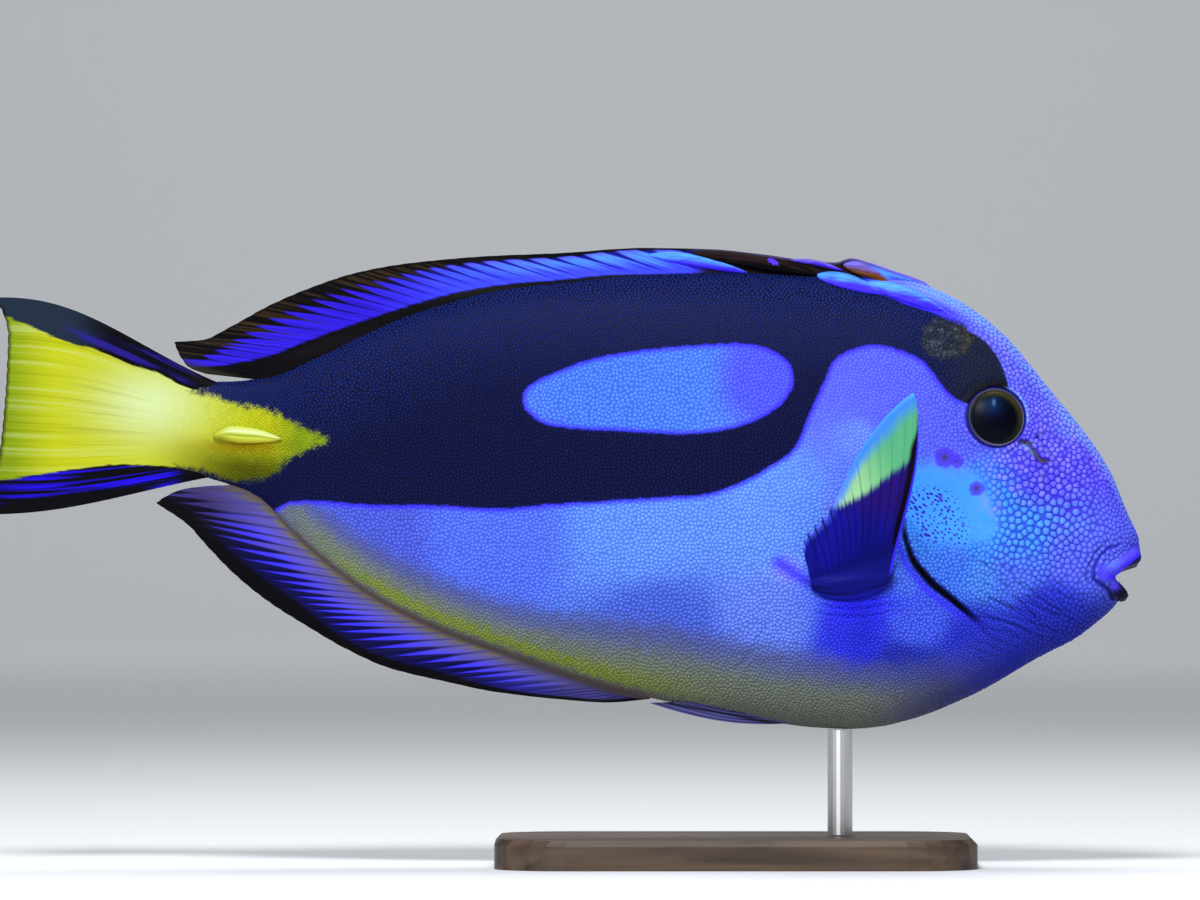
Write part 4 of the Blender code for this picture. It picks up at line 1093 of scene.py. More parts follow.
def make_skin(look):
    """The skin of the whole body, with its relief and markings."""
    points, faces = rebuilt_skin()
    pairs = edge_pairs(faces)
    points = relax(points, pairs, 6)
    x, y, z = points.T
    side = np.where(np.abs(y) > MIDDLE_STRIP, np.sign(y), y / MIDDLE_STRIP)
    inner = (x > 110.8) & (np.abs(y) < flesh_half_width(x, z) - 1.2)
    points[:, 1] += np.where(inner, 0, side * relief(x, z))
    points = relax(points, pairs, 1)
    x, y, z = points.T
    bare = smooth_cover(x, z)
    tint = skin_tint(points, 0.35 + 0.65 * bare)
    edge_row = bell(from_gill(x, z) - 3.2, 1.6) * band(z, 55, 60, 66, 70)
    dotted = (0.8 + 0.5 * cloud(points, 3.0, 9)) * (1 - ramp(x + 0.5 * (z - 66), 79, 89)) + 0.6 * edge_row
    pored = bare * np.clip(dotted, 0, 1.6) * band(z, 58.5, 61, 73, 79)
    return fast_mesh("skin", points, faces, look, tint, [("pored", pored)])


def scale_spacing(points):
    """Distance between neighbouring scales, by place."""
    x, _, z = points.T
    snout = oval(x, z, (97.5, 70.5), 9.5, 9.5)
    spacing = 0.70 + 0.08 * band(x, 0, 20, 30, 50) + 0.32 * ramp(from_gill(x, z), 4, 16) + 0.62 * snout
    spacing -= 0.20 * ramp(x, 104, 112) + 0.15 * bell(from_eye(x, z) - 7.5, 1.5)
    spacing -= 0.12 * (1 - ramp(x, -60, -40))
    spacing *= 1 + 0.16 * cloud(points, 1.2, 5) * ramp(x, 84, 92)
    return np.maximum(spacing, 0.56)


def near_tree(points, members=None):
    """A tree that finds the nearest of the points, or of the members among them."""
    tree = KDTree(len(points))
    for k in range(len(points)) if members is None else members:
        tree.insert(points[k], k)
    tree.balance()
    return tree


def scale_roots(skin):
    """Places of the scales on the skin, evenly scattered, with their normals and spacing."""
    points = rows_of(skin.data.vertices, "co") / MM
    normals = rows_of(skin.data.vertex_normals, "vector")
    x, y, z = points.T
    spacing = scale_spacing(points)
    in_mouth = (x > 110.4) & (np.abs(y) < flesh_half_width(x, z) - 0.9) & (z > 54) & (z < 61.5)
    slit = (np.abs(from_gill(x, z)) < 0.9) & (band(z, *SLIT_LEVELS) > 0.2)
    ragged_rear = SCALES_REAR_X + 3 * cloud(points, 1.2, 44)
    allowed = (from_eye(x, z) > EYE_SHOWS + 0.7) & ~in_mouth & ~slit & (x > ragged_rear)
    allowed &= (smooth_cover(x, z) < 0.75) & ((lip_share(x, z) < 0.4) | (z < 56.5))
    for line, half in ((LIP_FOLD, 0.45), (CORNER_FOLD, 0.6), (NOSTRIL_GROOVE, 0.8)):
        allowed &= line_distance(line, x, z) > half
    tree = near_tree(points, np.flatnonzero(allowed))
    free = allowed.copy()
    chosen = []
    for k in np.random.default_rng(11).permutation(len(points)):
        if free[k]:
            chosen.append(k)
            for _, near, _ in tree.find_range(points[k], ROOT_GAP * spacing[k]):
                free[near] = False
    chosen = np.array(chosen)
    return points[chosen], normals[chosen], spacing[chosen]


def settle(roots, normals, spacing, surface):
    """Pushes crowded roots apart along the skin, and finds each one's nearest neighbours."""
    for _ in range(3):
        tree = near_tree(roots)
        push = np.zeros_like(roots)
        for k, root in enumerate(roots):
            for place, near, away in tree.find_n(root, 7):
                if near != k and away < spacing[k]:
                    push[k] += (root - np.array(place)) / max(away, 0.05) * (spacing[k] - away) * 0.3
        roots = roots + push
        for k, root in enumerate(roots):
            place, normal, _, _ = surface.find_nearest(root)
            roots[k] = place
            normals[k] = 0.5 * normals[k] + 0.5 * np.array(normal)
    normals /= np.linalg.norm(normals, axis=1, keepdims=True)
    tree = near_tree(roots)
    found = [tree.find_n(root, NEIGHBOURS + 1)[1:] for root in roots]
    neighbours = np.array([[near for _, near, _ in row] for row in found])
    return roots, normals, neighbours


def skin_chart(points):
    """Place on an unwrap of the skin: length along its widest line, and length round its section."""
    stations = np.linspace(SKIN_REAR_X, NOSE_X, 200)
    along_y = widest(stations)
    along = np.concatenate([[0], np.cumsum(np.hypot(np.diff(stations), np.diff(along_y)))])
    levels = np.linspace(0, 1, 60)
    x_grid, level_grid = np.meshgrid(stations, levels, indexing="ij")
    z_grid = belly(x_grid) + (back(x_grid) - belly(x_grid)) * level_grid
    y_grid = flesh_half_width(x_grid, z_grid)
    steps = np.hypot(np.diff(y_grid, axis=1), np.diff(z_grid, axis=1))
    around = np.concatenate([np.zeros((len(stations), 1)), np.cumsum(steps, axis=1)], axis=1)
    around /= around[:, -1:]
    x, z = points[:, 0], points[:, 2]
    level = np.clip((z - belly(x)) / (back(x) - belly(x)), 0, 1) * (len(levels) - 1)
    station = np.clip((x - stations[0]) / (stations[1] - stations[0]), 0, len(stations) - 1.001)
    i, j = station.astype(int), np.minimum(level.astype(int), len(levels) - 2)
    across, up = station - i, level - j
    v = (around[i, j] * (1 - across) + around[i + 1, j] * across) * (1 - up)
    v += (around[i, j + 1] * (1 - across) + around[i + 1, j + 1] * across) * up
    return np.interp(x, stations, along / along[-1]), v


def fitted(values):
    """Values stretched to fill the width of a map, but for a thin border."""
    return (values - values.min()) / max(np.ptp(values), 1e-6) * 0.99 + 0.005


def scale_shapes(name, members, roots, normals, neighbours, spacing, sides, rings, look):
    """A joined mesh of domed scales, each filling the space up to its neighbours."""
    centre, normal, gap = roots[members], normals[members], spacing[members]
    rear = np.array([-1.0, 0, 0]) - normal * (-normal[:, :1])
    rear /= np.linalg.norm(rear, axis=1, keepdims=True)
    up = np.cross(normal, rear)
    offset = roots[neighbours[members]] - centre[:, None]
    along = np.einsum("nkj,nj->nk", offset, rear)
    above = np.einsum("nkj,nj->nk", offset, up)
    away = np.hypot(along, above)
    turns = np.linspace(0, 2 * math.pi, sides, endpoint=False)
    facing = np.cos(turns[None, :, None] - np.arctan2(above, along)[:, None, :])
    walls = (np.maximum(facing, 0) / (away[:, None, :] / 2)) ** 7
    reach = walls.sum(2) ** (-1 / 7)
    reach = np.minimum(reach, WIDEST_SCALE * gap[:, None])
    height = np.random.default_rng(17).uniform(0.85, 1.15, len(members))
    height *= LOW_SCALE + TALL_SCALE_EXTRA * ramp(gap, 0.9, 1.6)
    height *= 0.35 + 0.65 * ramp(centre[:, 0], -70, -56)
    on_band = ramp(depth_inside(BLACK_BAND_LINE, centre[:, 0], centre[:, 2]), -0.5, 0.5)
    height *= 1 - 0.6 * on_band * ramp(centre[:, 0], 66, 76)
    height *= ramp(-depth_inside(COVER_LINE, centre[:, 0], centre[:, 2]), -3.0, 4.0)
    points, rises, charts = [], [], []
    u, v = (fitted(values) for values in skin_chart(centre))
    ahead, aside = np.cos(turns), np.sin(turns)
    outwards = ahead[None, :, None] * rear[:, None] + aside[None, :, None] * up[:, None]
    for share, level, shift, rise in rings:
        flat = share * reach[:, :, None] * outwards
        lean = (shift * gap)[:, None, None] * rear[:, None]
        lift = (level * height)[:, None, None] * normal[:, None]
        points.append(centre[:, None] + flat + lean + lift)
        rises.append(np.full((len(members), sides), rise))
        radius = PATCH_RADIUS * share
        charts.append(np.stack([u[:, None] + radius * ahead, v[:, None] + radius * aside], 2))
    top = centre + 0.10 * gap[:, None] * rear + height[:, None] * normal
    points.append(top[:, None])
    rises.append(np.ones((len(members), 1)))
    charts.append(np.stack([u, v], 1)[:, None])
    each = len(rings) * sides + 1
    one = grid_faces(len(rings), sides, wrap=True)
    last = each - 1 - sides
    one += [[last + k, last + (k + 1) % sides, each - 1] for k in range(sides)]
    starts = np.arange(len(members)) * each
    faces = [np.array(face)[None, :] + starts[:, None] for face in one]
    order = [row for block in faces for row in block.tolist()]
    points = np.concatenate(points, 1).reshape(-1, 3)
    rises = np.concatenate(rises, 1).reshape(-1)
    charts = np.concatenate(charts, 1).reshape(-1, 2)
    tone = np.repeat(np.random.default_rng(23).uniform(0.93, 1.07, len(members)), each)
    tint = skin_tint(points, rises) * tone[:, None]
    made = fast_mesh(name, points, order, look, np.clip(tint, 0, 1))
    chart = made.data.uv_layers.new(name="OFBake")
    corners = np.concatenate([block.ravel() for block in faces])
    chart.data.foreach_set("uv", charts[corners].astype(np.float32).ravel())
    return made


def make_scales(skin, look):
    """All scales of the body, in joined meshes by side and by length of the body."""
    roots, normals, spacing = scale_roots(skin)
    corners = [vert.co / MM for vert in skin.data.vertices]
    surface = BVHTree.FromPolygons(corners, [polygon.vertices for polygon in skin.data.polygons])
    roots, normals, neighbours = settle(roots, normals, spacing, surface)
    made = []
    for word, side in SIDES:
        for part, rear, front, sides, rings in SCALE_SPANS:
            here = (roots[:, 1] * side >= 0) & (roots[:, 0] >= rear) & (roots[:, 0] < front)
            name = f"scales_{part}_{word}"
            members = np.flatnonzero(here)
            made.append(scale_shapes(name, members, roots, normals, neighbours, spacing, sides, rings, look))
    return made


def fin_grid(rays, per_ray, rows, scallop=SCALLOP, spread=None):
    """Places across a fin and along its rays, and the distance from the nearest ray: 0 on it, 0.5 midway.

    spread gives the place across the fin for each share of the count of rays, where they aren't even.
    """
    count = np.linspace(0, 1, rays * per_ray + 1)[:, None]
    phase = np.abs((count * rays) % 1 - 0.5)
    ends = ramp(count * rays, 0, 0.5) * ramp((1 - count) * rays, 0, 0.5)
    v = np.linspace(0, 1, rows)[None, :] * (1 - scallop * (2 * phase) ** 2 * ends)
    s = count if spread is None else smooth(spread)(count)
    return s + 0 * v, phase + 0 * v, v


def fin_thickness(root, v, phase, sink, branch=0.0, height=RAY_RIDGE):
    """Half thickness from a fleshy root to the thin outer edge, with ridged rays that branch outwards."""
    membrane = MEMBRANE + (FIN_EDGE - MEMBRANE) * v
    fleshy = 1 - ramp(v, 0, sink)
    halves = np.abs(np.abs(phase - 0.25) - 0.25 + 0.12)
    whole = bell(phase, 0.13) * (1 - branch * ramp(v, 0.35, 0.6))
    halved = bell(halves, 0.07) * branch * ramp(v, 0.4, 0.65)
    rays = height * (whole + halved) * (1 - 0.85 * v) * ramp(v, 0.8 * sink, 2 * sink)
    return membrane + (root - membrane) * fleshy + rays


def fin_faces(middle, half):
    """The two faces of a membrane, half a thickness to each side of its middle surface."""
    normal = np.cross(np.gradient(middle, axis=0), np.gradient(middle, axis=1))
    normal /= np.linalg.norm(normal, axis=2, keepdims=True)
    return middle + normal * half[:, :, None], middle - normal * half[:, :, None]


def sandwich(name, near, far, look, tint):
    """A closed piece between two matching grids of points, both with the same colours."""
    rows, columns = near.shape[:2]
    count = rows * columns
    index = np.arange(count).reshape(rows, columns)
    faces = grid_faces(rows, columns)
    faces += [[k + count for k in face[::-1]] for face in faces]
    rim = np.concatenate([index[0, :-1], index[:-1, -1], index[-1, :0:-1], index[:0:-1, 0]])
    after = np.roll(rim, -1)
    faces += np.stack([after, rim, rim + count, after + count], 1).tolist()
    points = np.concatenate([near.reshape(-1, 3), far.reshape(-1, 3)])
    return fast_mesh(name, points, faces, look, np.concatenate([tint, tint]))


def ray_streaks(s, rays, v, seed, finest=3.0):
    """Fine random streaks along a fin's rays, from -1 to 1."""
    spots = np.stack([s.ravel() * rays * finest, v.ravel() * 2.2, 0 * s.ravel()], 1)
    return cloud(spots, 1.0, seed)


def dorsal_tint(s, phase, v, x, z):
    """Pointed blue fingers between dark rays, a black foot and a brown-black outer margin."""
    below_edge = smooth(DORSAL_EDGE)(x) - z
    above_foot = z - smooth(DORSAL_BLUE_START)(x)
    margin = smooth(DORSAL_MARGIN)(x)
    streak = ray_streaks(s, DORSAL_RAYS, v, 31, 10.0)
    full = np.maximum(below_edge + above_foot - margin, 0.5)
    outward = np.clip(above_foot / full, 0, 1.3)
    ahead = ramp(x, -40, -10)
    blue = mix(DORSAL_VIOLET, DORSAL_BLUE, ahead)
    tint = mix(blue, STREAK_SKY, ramp(x, -30, 10) * ramp(outward + 0.2 * streak, 0.2, 0.8))
    tint = mix(tint, STREAK_VIOLET, 0.7 * ahead * (1 - ramp(below_edge, margin, margin + 1.0)))
    tint *= (1 + 0.26 * streak)[:, None]
    wedge = 0.07 + (0.40 - 0.26 * ahead) * np.clip((outward - 0.5) / 0.5, 0, 1.3) ** 1.3
    wedge *= ramp(outward, 0.1, 0.4)
    brown = ramp(streak, -0.2, 0.8) * (1 - ramp(x, -30, -10))
    dark = mix(BLACK, BROWN, 0.3 * brown)
    line = mix(dark, DORSAL_LINE, ahead * ramp(below_edge, margin, 1.5 * margin))
    tint = mix(tint, line, 1 - ramp(phase, wedge - 0.05, wedge + 0.05))
    tint = mix(tint, dark, 1 - ramp(below_edge, 0.86 * margin, 1.08 * margin))
    folded = ramp(x, 26, 31) * (1 - ramp(x, 61, 63))
    tint = mix(tint, mix(FOLD_BROWN, BLACK, ramp(streak, -0.3, 0.5)), folded)
    crest = mix(ROYAL_BLUE, FOLD_SKY, ramp(z - back(x) + 0.6 * streak, -0.4, 1.2))
    tint = mix(tint, crest, ramp(x, 61, 63))
    # along the top edge: black at the rear, a thin painted highlight over the folded part, lilac in front
    edge = mix(mix(BLACK, FOLD_EDGE_HIGHLIGHT, ramp(x, 24, 34)), FOLD_LILAC, ramp(x, 56, 66))
    tint = mix(tint, edge, 1 - ramp(below_edge, 0.25, 0.55))
    foot = (1 - ramp(above_foot + 0.12 * streak, -0.2, 0.25)) * (1 - ramp(x, 61, 63))
    tint = mix(tint, BLACK, foot)
    tail_edge = np.abs(s - 1) * 60 + (1 - v) * 4
    tint = mix(tint, FIN_OLIVE * 0.2, 1 - ramp(tail_edge, 1.0, 3.2))
    return np.clip(tint, 0, 1)


def anal_tint(s, phase, v, x, z):
    """Thin, pointed violet-blue flames between dark rays, a black outer margin and a grey inner part."""
    above_edge = z - smooth(ANAL_EDGE)(x)
    below_body = belly(x) - z
    margin = smooth(ANAL_MARGIN)(x)
    streak = ray_streaks(s, ANAL_RAYS, v, 37, 5.0)
    full = np.maximum(below_body + above_edge - margin, 0.5)
    outward = np.clip(1 - (above_edge - margin) / full, 0, 1.3)
    rear = 1 - ramp(x, -72, -56)
    flame = mix(FIN_GREY, FLAME_BLUE, ramp(outward + 0.15 * streak, 0.25, 0.75))
    flame = mix(flame, FIN_OLIVE, (1 - ramp(below_body, 0.8, 3.0)) * (1 - ramp(v, 0.3, 0.6)))
    flame = mix(flame, FLAME_BROWN, 0.88 * rear)
    front = ramp(x, -18, 4)
    flame = mix(flame, FLAME_GREY, 0.9 * front)
    flame *= (1 + 0.15 * streak)[:, None]
    gap = mix(FIN_GREY * 0.62, BLACK, ramp(outward, 0.15, 0.6))
    wedge = 0.13 + 0.46 * np.clip((outward - 0.4) / 0.6, 0, 1.3) ** 1.2
    tint = mix(flame, gap, (0.95 - 0.45 * front) * (1 - ramp(phase, wedge - 0.09, wedge + 0.07)))
    tint = mix(tint, BLACK, 1 - ramp(above_edge, 0.8 * margin, 1.1 * margin))
    tint = mix(tint, BELLY_BROWN * 0.8, 0.9 * (1 - ramp(below_body, 0.4, 1.2)))
    return np.clip(tint, 0, 1)


def caudal_tint(s, _, v, x, z):
    """A yellow fan between black lobes with bright blue streaks."""
    streak = ray_streaks(s, CAUDAL_RAYS, v, 41, 4.0)
    fine = ray_streaks(s, CAUDAL_RAYS, v, 43, 11.0)
    wobble = side_cloud(x, z, 1.1, 3)
    yellow = depth_inside(YELLOW_LINE, x, z) + 0.12 * wobble + 0.2 * fine
    lit = tail_yellow(x, z)
    lined = 1 - ramp(x, -96, -76)
    lit = mix(lit, DARK_YELLOW, 0.26 * ramp(streak + 0.7 * fine, 0.1, 1.2) * lined)
    lit = mix(lit, PALE_YELLOW, 0.22 * ramp(-streak - 0.5 * fine, 0.2, 1.1) * lined)
    upper = ramp(z, 88, 92)
    dark = mix(BLACK, TEAL_BLACK, upper * (1 - ramp(x, -98, -88)))
    blue = ramp(streak + 0.5 * fine, -0.5, 0.3)
    from_yellow = -yellow
    low_lobe = band(x, -119, -100, -78, -74) * band(from_yellow, -0.1, 0.4, 3.6, 5.0)
    high_lobe = band(x, -100, -93, -76, -70) * band(from_yellow, 0.5, 1.2, 3.0, 4.0)
    dark = mix(dark, LOBE_BLUE, blue * (1 - upper) * low_lobe)
    dark = mix(dark, LOBE_VIOLET, 0.65 * blue * upper * high_lobe)
    tint = mix(dark, lit, ramp(yellow, -0.12, 0.15))
    tint = mix(tint, BLACK, (1 - ramp((1 - v) * 46, 0.25, 0.7)) * 0.9)
    return np.clip(tint, 0, 1)


def pectoral_tint(s, phase, v, x, z):
    """Navy and purple at the root, yellow-green beyond, sky blue at the tip, with a black front edge."""
    streak = ray_streaks(s, PECTORAL_RAYS, v, 47, 3.0)
    fine = ray_streaks(s, PECTORAL_RAYS, v, 49, 9.0)
    on_ray = 1 - ramp(phase, 0.02, 0.16)
    tint = mix(PECTORAL_NAVY, PECTORAL_BLUE, (0.35 + 0.4 * fine) * ramp(v, 0.15, 0.35))
    tint = mix(tint, PECTORAL_PURPLE, 0.75 * ramp(z + 0.3 * (x - 60), 68, 76))
    tint = mix(tint, PECTORAL_RAY, 0.55 * on_ray * ramp(v, 0.2, 0.4))
    outer = z - smooth(PECTORAL_DARK_EDGE)(x) - 0.7 * on_ray - 0.3 * streak
    lit = mix(FIN_LIME, FIN_GREEN, ramp(x + 0.6 * z, 100, 118))
    lit = mix(lit, FIN_GREEN * 0.8, 0.5 * on_ray)
    lit *= (1 + 0.06 * fine)[:, None]
    edge = line_distance([(tip_x, tip_z) for _, tip_x, tip_z in PECTORAL_TIPS[1:]], x, z)
    fade = 1 - ramp(edge + 0.4 * fine, 0.3, 2.2 + 1.8 * ramp(z, 76, 88))
    lit = mix(lit, mix(SKY_BLUE, PECTORAL_TIP, ramp(z, 72, 82)), fade)
    tint = mix(tint, lit, ramp(outer, -0.6, 1.0) * ramp(z, 70.0, 72.5))
    from_front = s * (15.6 + 12 * v)
    black = 1.7 * (1 - ramp(z, 83, 91)) * ramp(z, 60, 68)
    tint = mix(tint, PECTORAL_EDGE, 1 - ramp(from_front, black - 0.5, black + 0.3))
    tint = mix(tint, STREAK_BLUE, (1 - ramp(from_front, 0.35, 0.6)) * (1 - ramp(z, 86, 91)) * ramp(z, 58, 61))
    spike = ramp(s, 0.55, 0.7) * ramp(v, 0.82, 0.97) * (1 - on_ray)
    tint = mix(tint, PECTORAL_SPIKE, 0.75 * spike)
    root = np.clip(-v / PECTORAL_ROOT_SHARE, 0, 1)
    tint = mix(tint, PECTORAL_FOOT, 0.6 * ramp(root, 0.5, 1.0))
    # painted shade in the troughs of the root's wrinkles
    folds = ramp(np.sin(root * PECTORAL_ROOT_FOLDS + 2 * s), -0.2, 0.8) * ramp(root, 0.02, 0.15)
    tint = mix(tint, PECTORAL_FOLD_SHADE, 0.7 * folds)
    return np.clip(tint, 0, 1)


def pelvic_tint(s, phase, v, x, z):
    """Grey-violet membranes between dark rays."""
    streak = ray_streaks(s, PELVIC_RAYS, v, 53, 5.0)
    tint = mix(PELVIC_GREY, PELVIC_SHADE, ramp(streak, -0.4, 0.6))
    tint = mix(tint, BLACK, (1 - ramp(phase, 0.08, 0.2)) * 0.6)
    return mix(tint, BLACK, 0.9 * bell(z - belly(x) + 0.3, 0.45))


def make_fold(name, rear, front, half_height, lower, upper, side, look):
    """A folded lobe of the dorsal fin's membrane, a puffed leaf lying against the fin."""
    share, across = np.meshgrid(np.linspace(0, 1, 40), np.linspace(-1, 1, 15), indexing="ij")
    outline = half_height * np.sin(math.pi * share**0.85) ** 0.7
    x = rear[0] + (front[0] - rear[0]) * share
    z = rear[1] + (front[1] - rear[1]) * share + 0.5 * np.sin(math.pi * share) + across * outline
    fullness = np.sqrt(np.clip(1 - across**2, 0, 1)) * np.sin(math.pi * share) ** 0.5
    pleats = np.sin(11 * across + 6 * share + 2 * np.sin(9 * share))
    foot = np.maximum(FOLD_FOOT, flesh_half_width(x, z))
    y = foot + (FOLD_RISE + 0.07 * pleats) * fullness
    streak = cloud(np.stack([x, 6 * z, 0 * x], 2).reshape(-1, 3), 2.4, 71)
    rise = (across - 1.2 * (share - 0.4)).ravel() + 0.25 * streak
    tint = mix(lower, upper, ramp(rise, -0.6, 0.6)) * (1 + 0.2 * streak)[:, None]
    # painted shade in the troughs of the pleats
    tint *= (1 - 0.35 * (1 - ramp(pleats.ravel(), -1.0, -0.5)))[:, None]
    near, far = np.stack([x, side * y, z], 2), np.stack([x, side * (foot - 0.3), z], 2)
    return sandwich(name, near, far, look, np.clip(tint, 0, 1))


def flat(*grids):
    """The grids as plain rows."""
    return [np.broadcast_to(grid, grids[0].shape).ravel() for grid in grids]


def median_fin(name, rays, spread, root_x, profile, inward, edge, sweep, tail_edge, paint, look):
    """A fin along the back or the belly: the rays lean back, and the last ones end on its rear edge."""
    s, phase, v = fin_grid(rays, 14, 40, spread=spread)
    foot_x = root_x[0] + (root_x[1] - root_x[0]) * s
    foot_z = profile(foot_x) + inward
    tip_x = foot_x - smooth(sweep)(s)
    tip_z = smooth(edge)(tip_x)
    tail_x, tail_z = path(tail_edge)
    turn = tail_edge[0][0]
    tip_x = np.where(s > turn, tail_x(s), tip_x)
    tip_z = np.where(s > turn, tail_z(s), tip_z)
    x = foot_x + (tip_x - foot_x) * v
    z = foot_z + (tip_z - foot_z) * v
    wave = 0.35 * np.sin(11 * s + 2.5 * v) * v + 0.25 * np.sin(math.pi * v) * np.sin(31 * s)
    half = fin_thickness(KEEL, v, phase, 0.3, height=0.16)
    near, far = fin_faces(np.stack([x, wave, z], 2), half)
    return sandwich(name, near, far, look, paint(*flat(s, phase, v, x, z)))


def make_caudal_fin(look):
    """The tail fin: its rays fan out from the end of the tail."""
    s, phase, v = fin_grid(CAUDAL_RAYS, 16, 46, scallop=0.004)
    bottom, top = belly(TAIL_ROOT_X), back(TAIL_ROOT_X)
    foot_z = bottom + (top - bottom) * s
    low, high = CAUDAL_TIPS[0][0], CAUDAL_TIPS[-1][0]
    tip_z = low + (high - low) * s
    tip_x = smooth(CAUDAL_TIPS)(tip_z)
    bend = np.sin(math.pi * v**CAUDAL_BOW_LATENESS)
    foot_x = TAIL_ROOT_X + CAUDAL_FOOT_DEPTH
    x = foot_x + (tip_x - foot_x) * v
    z = foot_z + (tip_z - foot_z) * v + bend * (CAUDAL_UPPER_BOW * s**2 + CAUDAL_LOWER_BOW * (1 - s) ** 2)
    wave = 0.4 * np.sin(5.5 * s + 1.0) * v**2
    half = fin_thickness(0.8 * flesh_half_width(TAIL_ROOT_X, foot_z), v, phase, CAUDAL_SINK, 0.8, 0.10)
    near, far = fin_faces(np.stack([x, wave, z], 2), half)
    return sandwich("caudal_fin_fan", near, far, look, caudal_tint(*flat(s, phase, v, x, z)))


def make_pectoral_fin(word, side, look):
    """The raised fin behind the gill cover: a fleshy, wrinkled root, and a fan that stands out."""
    s, phase, v = fin_grid(PECTORAL_RAYS, 14, 52, 0.0)
    v = v * (1 + PECTORAL_ROOT_SHARE) - PECTORAL_ROOT_SHARE
    v = np.where(v > 0, v * (1 - ramp(s, 0.5, 0.75) * 0.09 * v * (2 * phase) ** 0.7), v)
    out = np.maximum(v, 0)
    foot_x = PECTORAL_FRONT[0] + (PECTORAL_REAR[0] - PECTORAL_FRONT[0]) * s
    foot_z = PECTORAL_FRONT[1] + (PECTORAL_REAR[1] - PECTORAL_FRONT[1]) * s
    tip_x, tip_z = (axis(s) for axis in path(PECTORAL_TIPS))
    bow = np.sin(math.pi * out)
    length = (tip_z - foot_z) / (PECTORAL_TIPS[0][2] - PECTORAL_FRONT[1])
    forward = PECTORAL_FORWARD_BOW * np.sin(math.pi * out**PECTORAL_BOW_LATENESS)
    x = foot_x + (tip_x - foot_x) * out + forward * length
    root = np.minimum(v, 0) / PECTORAL_ROOT_SHARE
    z = foot_z + (tip_z - foot_z) * out + root * PECTORAL_ROOT_DEPTH * np.sqrt(1 - (1.98 * s - 0.99) ** 2)
    flank = flesh_half_width(x, np.minimum(z, foot_z)) - 0.1
    rise = np.maximum(z - foot_z, 0)
    y = flank + PECTORAL_SPREAD * rise**2 / (rise + PECTORAL_TURN) + PECTORAL_OUTWARD_BOW * bow**2 * length
    half = fin_thickness(PECTORAL_ROOT_HALF, out, phase, PECTORAL_SINK, branch=0.5)
    wrinkle = -0.16 * np.sin(-root * PECTORAL_ROOT_FOLDS + 2 * s) * ramp(-root, 0, 0.1)
    half = (half + wrinkle) * np.sqrt(np.clip(1 + root, 0, 1)) + 0.05
    near, far = fin_faces(np.stack([x, side * y, z], 2), half)
    return sandwich(f"pectoral_fan_{word}", near, far, look, pectoral_tint(*flat(s, phase, v, x, z)))


def make_pelvic_fin(word, side, look):
    """One of the pair of fins folded back along the belly, its spine along the lower edge."""
    s, phase, v = fin_grid(PELVIC_RAYS, 16, 40)
    foot_x = PELVIC_ROOT_X[0] + (PELVIC_ROOT_X[1] - PELVIC_ROOT_X[0]) * s
    foot_z = belly(foot_x) + FOOT_DEPTH
    tip_x = PELVIC_TIP[0] + (PELVIC_INNER_TIP_X - PELVIC_TIP[0]) * s
    tip_z = PELVIC_TIP[1] + (belly(PELVIC_INNER_TIP_X) + 1.0 - PELVIC_TIP[1]) * s
    x = foot_x + (tip_x - foot_x) * v
    z = foot_z + (tip_z - foot_z) * v - PELVIC_SAG * (1 - s) * np.sin(math.pi * v)
    y = PELVIC_OFFSET + PELVIC_SPLAY * v
    half = fin_thickness(MEMBRANE, v, phase, 0.2)
    near, far = fin_faces(np.stack([x, side * y, z], 2), half)
    return sandwich(f"pelvic_fan_{word}", near, far, look, pelvic_tint(*flat(s, phase, v, x, z)))


def make_blade(word, side, look):
    """The blade on the side of the tail, grooved along its middle and sharp at its edges and point."""
    share, across = np.meshgrid(np.linspace(0, 1, 40), np.linspace(0, 1, 21), indexing="ij")
    rear, point = SPINE_UPPER[0][0], SPINE_UPPER[-1][0]
    x = rear + (point - rear) * share
    low, high = smooth(SPINE_LOWER)(x), smooth(SPINE_UPPER)(x)
    z = low + (high - low) * across
    body = np.sin(math.pi * across) ** 0.7 * (1 - 0.75 * share) * ramp(share, -0.15, 0.15)
    body -= 0.14 * bell(across - BLADE_GROOVE, 0.09) * band(share, 0.05, 0.2, 0.6, 0.85)
    inner = flesh_half_width(x, z) - 0.4
    outer = inner + 0.75 + SPINE_THICKNESS * body
    along, up = share.ravel(), across.ravel()
    # painted highlight along the blade's upper face
    tint = mix(BONE_YELLOW, PALE_YELLOW, 0.7 * band(up, 0.5, 0.62, 0.8, 0.95))
    # painted shade along the blade's lower edge
    tint = mix(tint, BLADE_LOW_SHADE, 0.8 * (1 - ramp(up, 0.05, 0.3)))
    # painted shade in the groove
    tint = mix(tint, DARK_YELLOW, 0.5 * bell(up - BLADE_GROOVE, 0.07))
    tint = mix(tail_yellow(x.ravel(), z.ravel()), tint, ramp(along, 0.02, 0.3))
    near, far = np.stack([x, side * outer, z], 2), np.stack([x, side * inner, z], 2)
    return sandwich(f"tail_blade_{word}", near, far, look, np.clip(tint, 0, 1))


def surface_frame(x, z, side):
    """A point on the head's surface and its outward normal."""
    def half(px, pz):
        at = np.array([px]), np.array([pz])
        return float(flesh_half_width(*at)[0] + gill_form(*at)[0])

    step = 0.5
    along = (half(x + step, z) - half(x - step, z)) / (2 * step)
    up = (half(x, z + step) - half(x, z - step)) / (2 * step)
    return Vector((x, side * half(x, z), z)), Vector((-along, side, -up)).normalized()


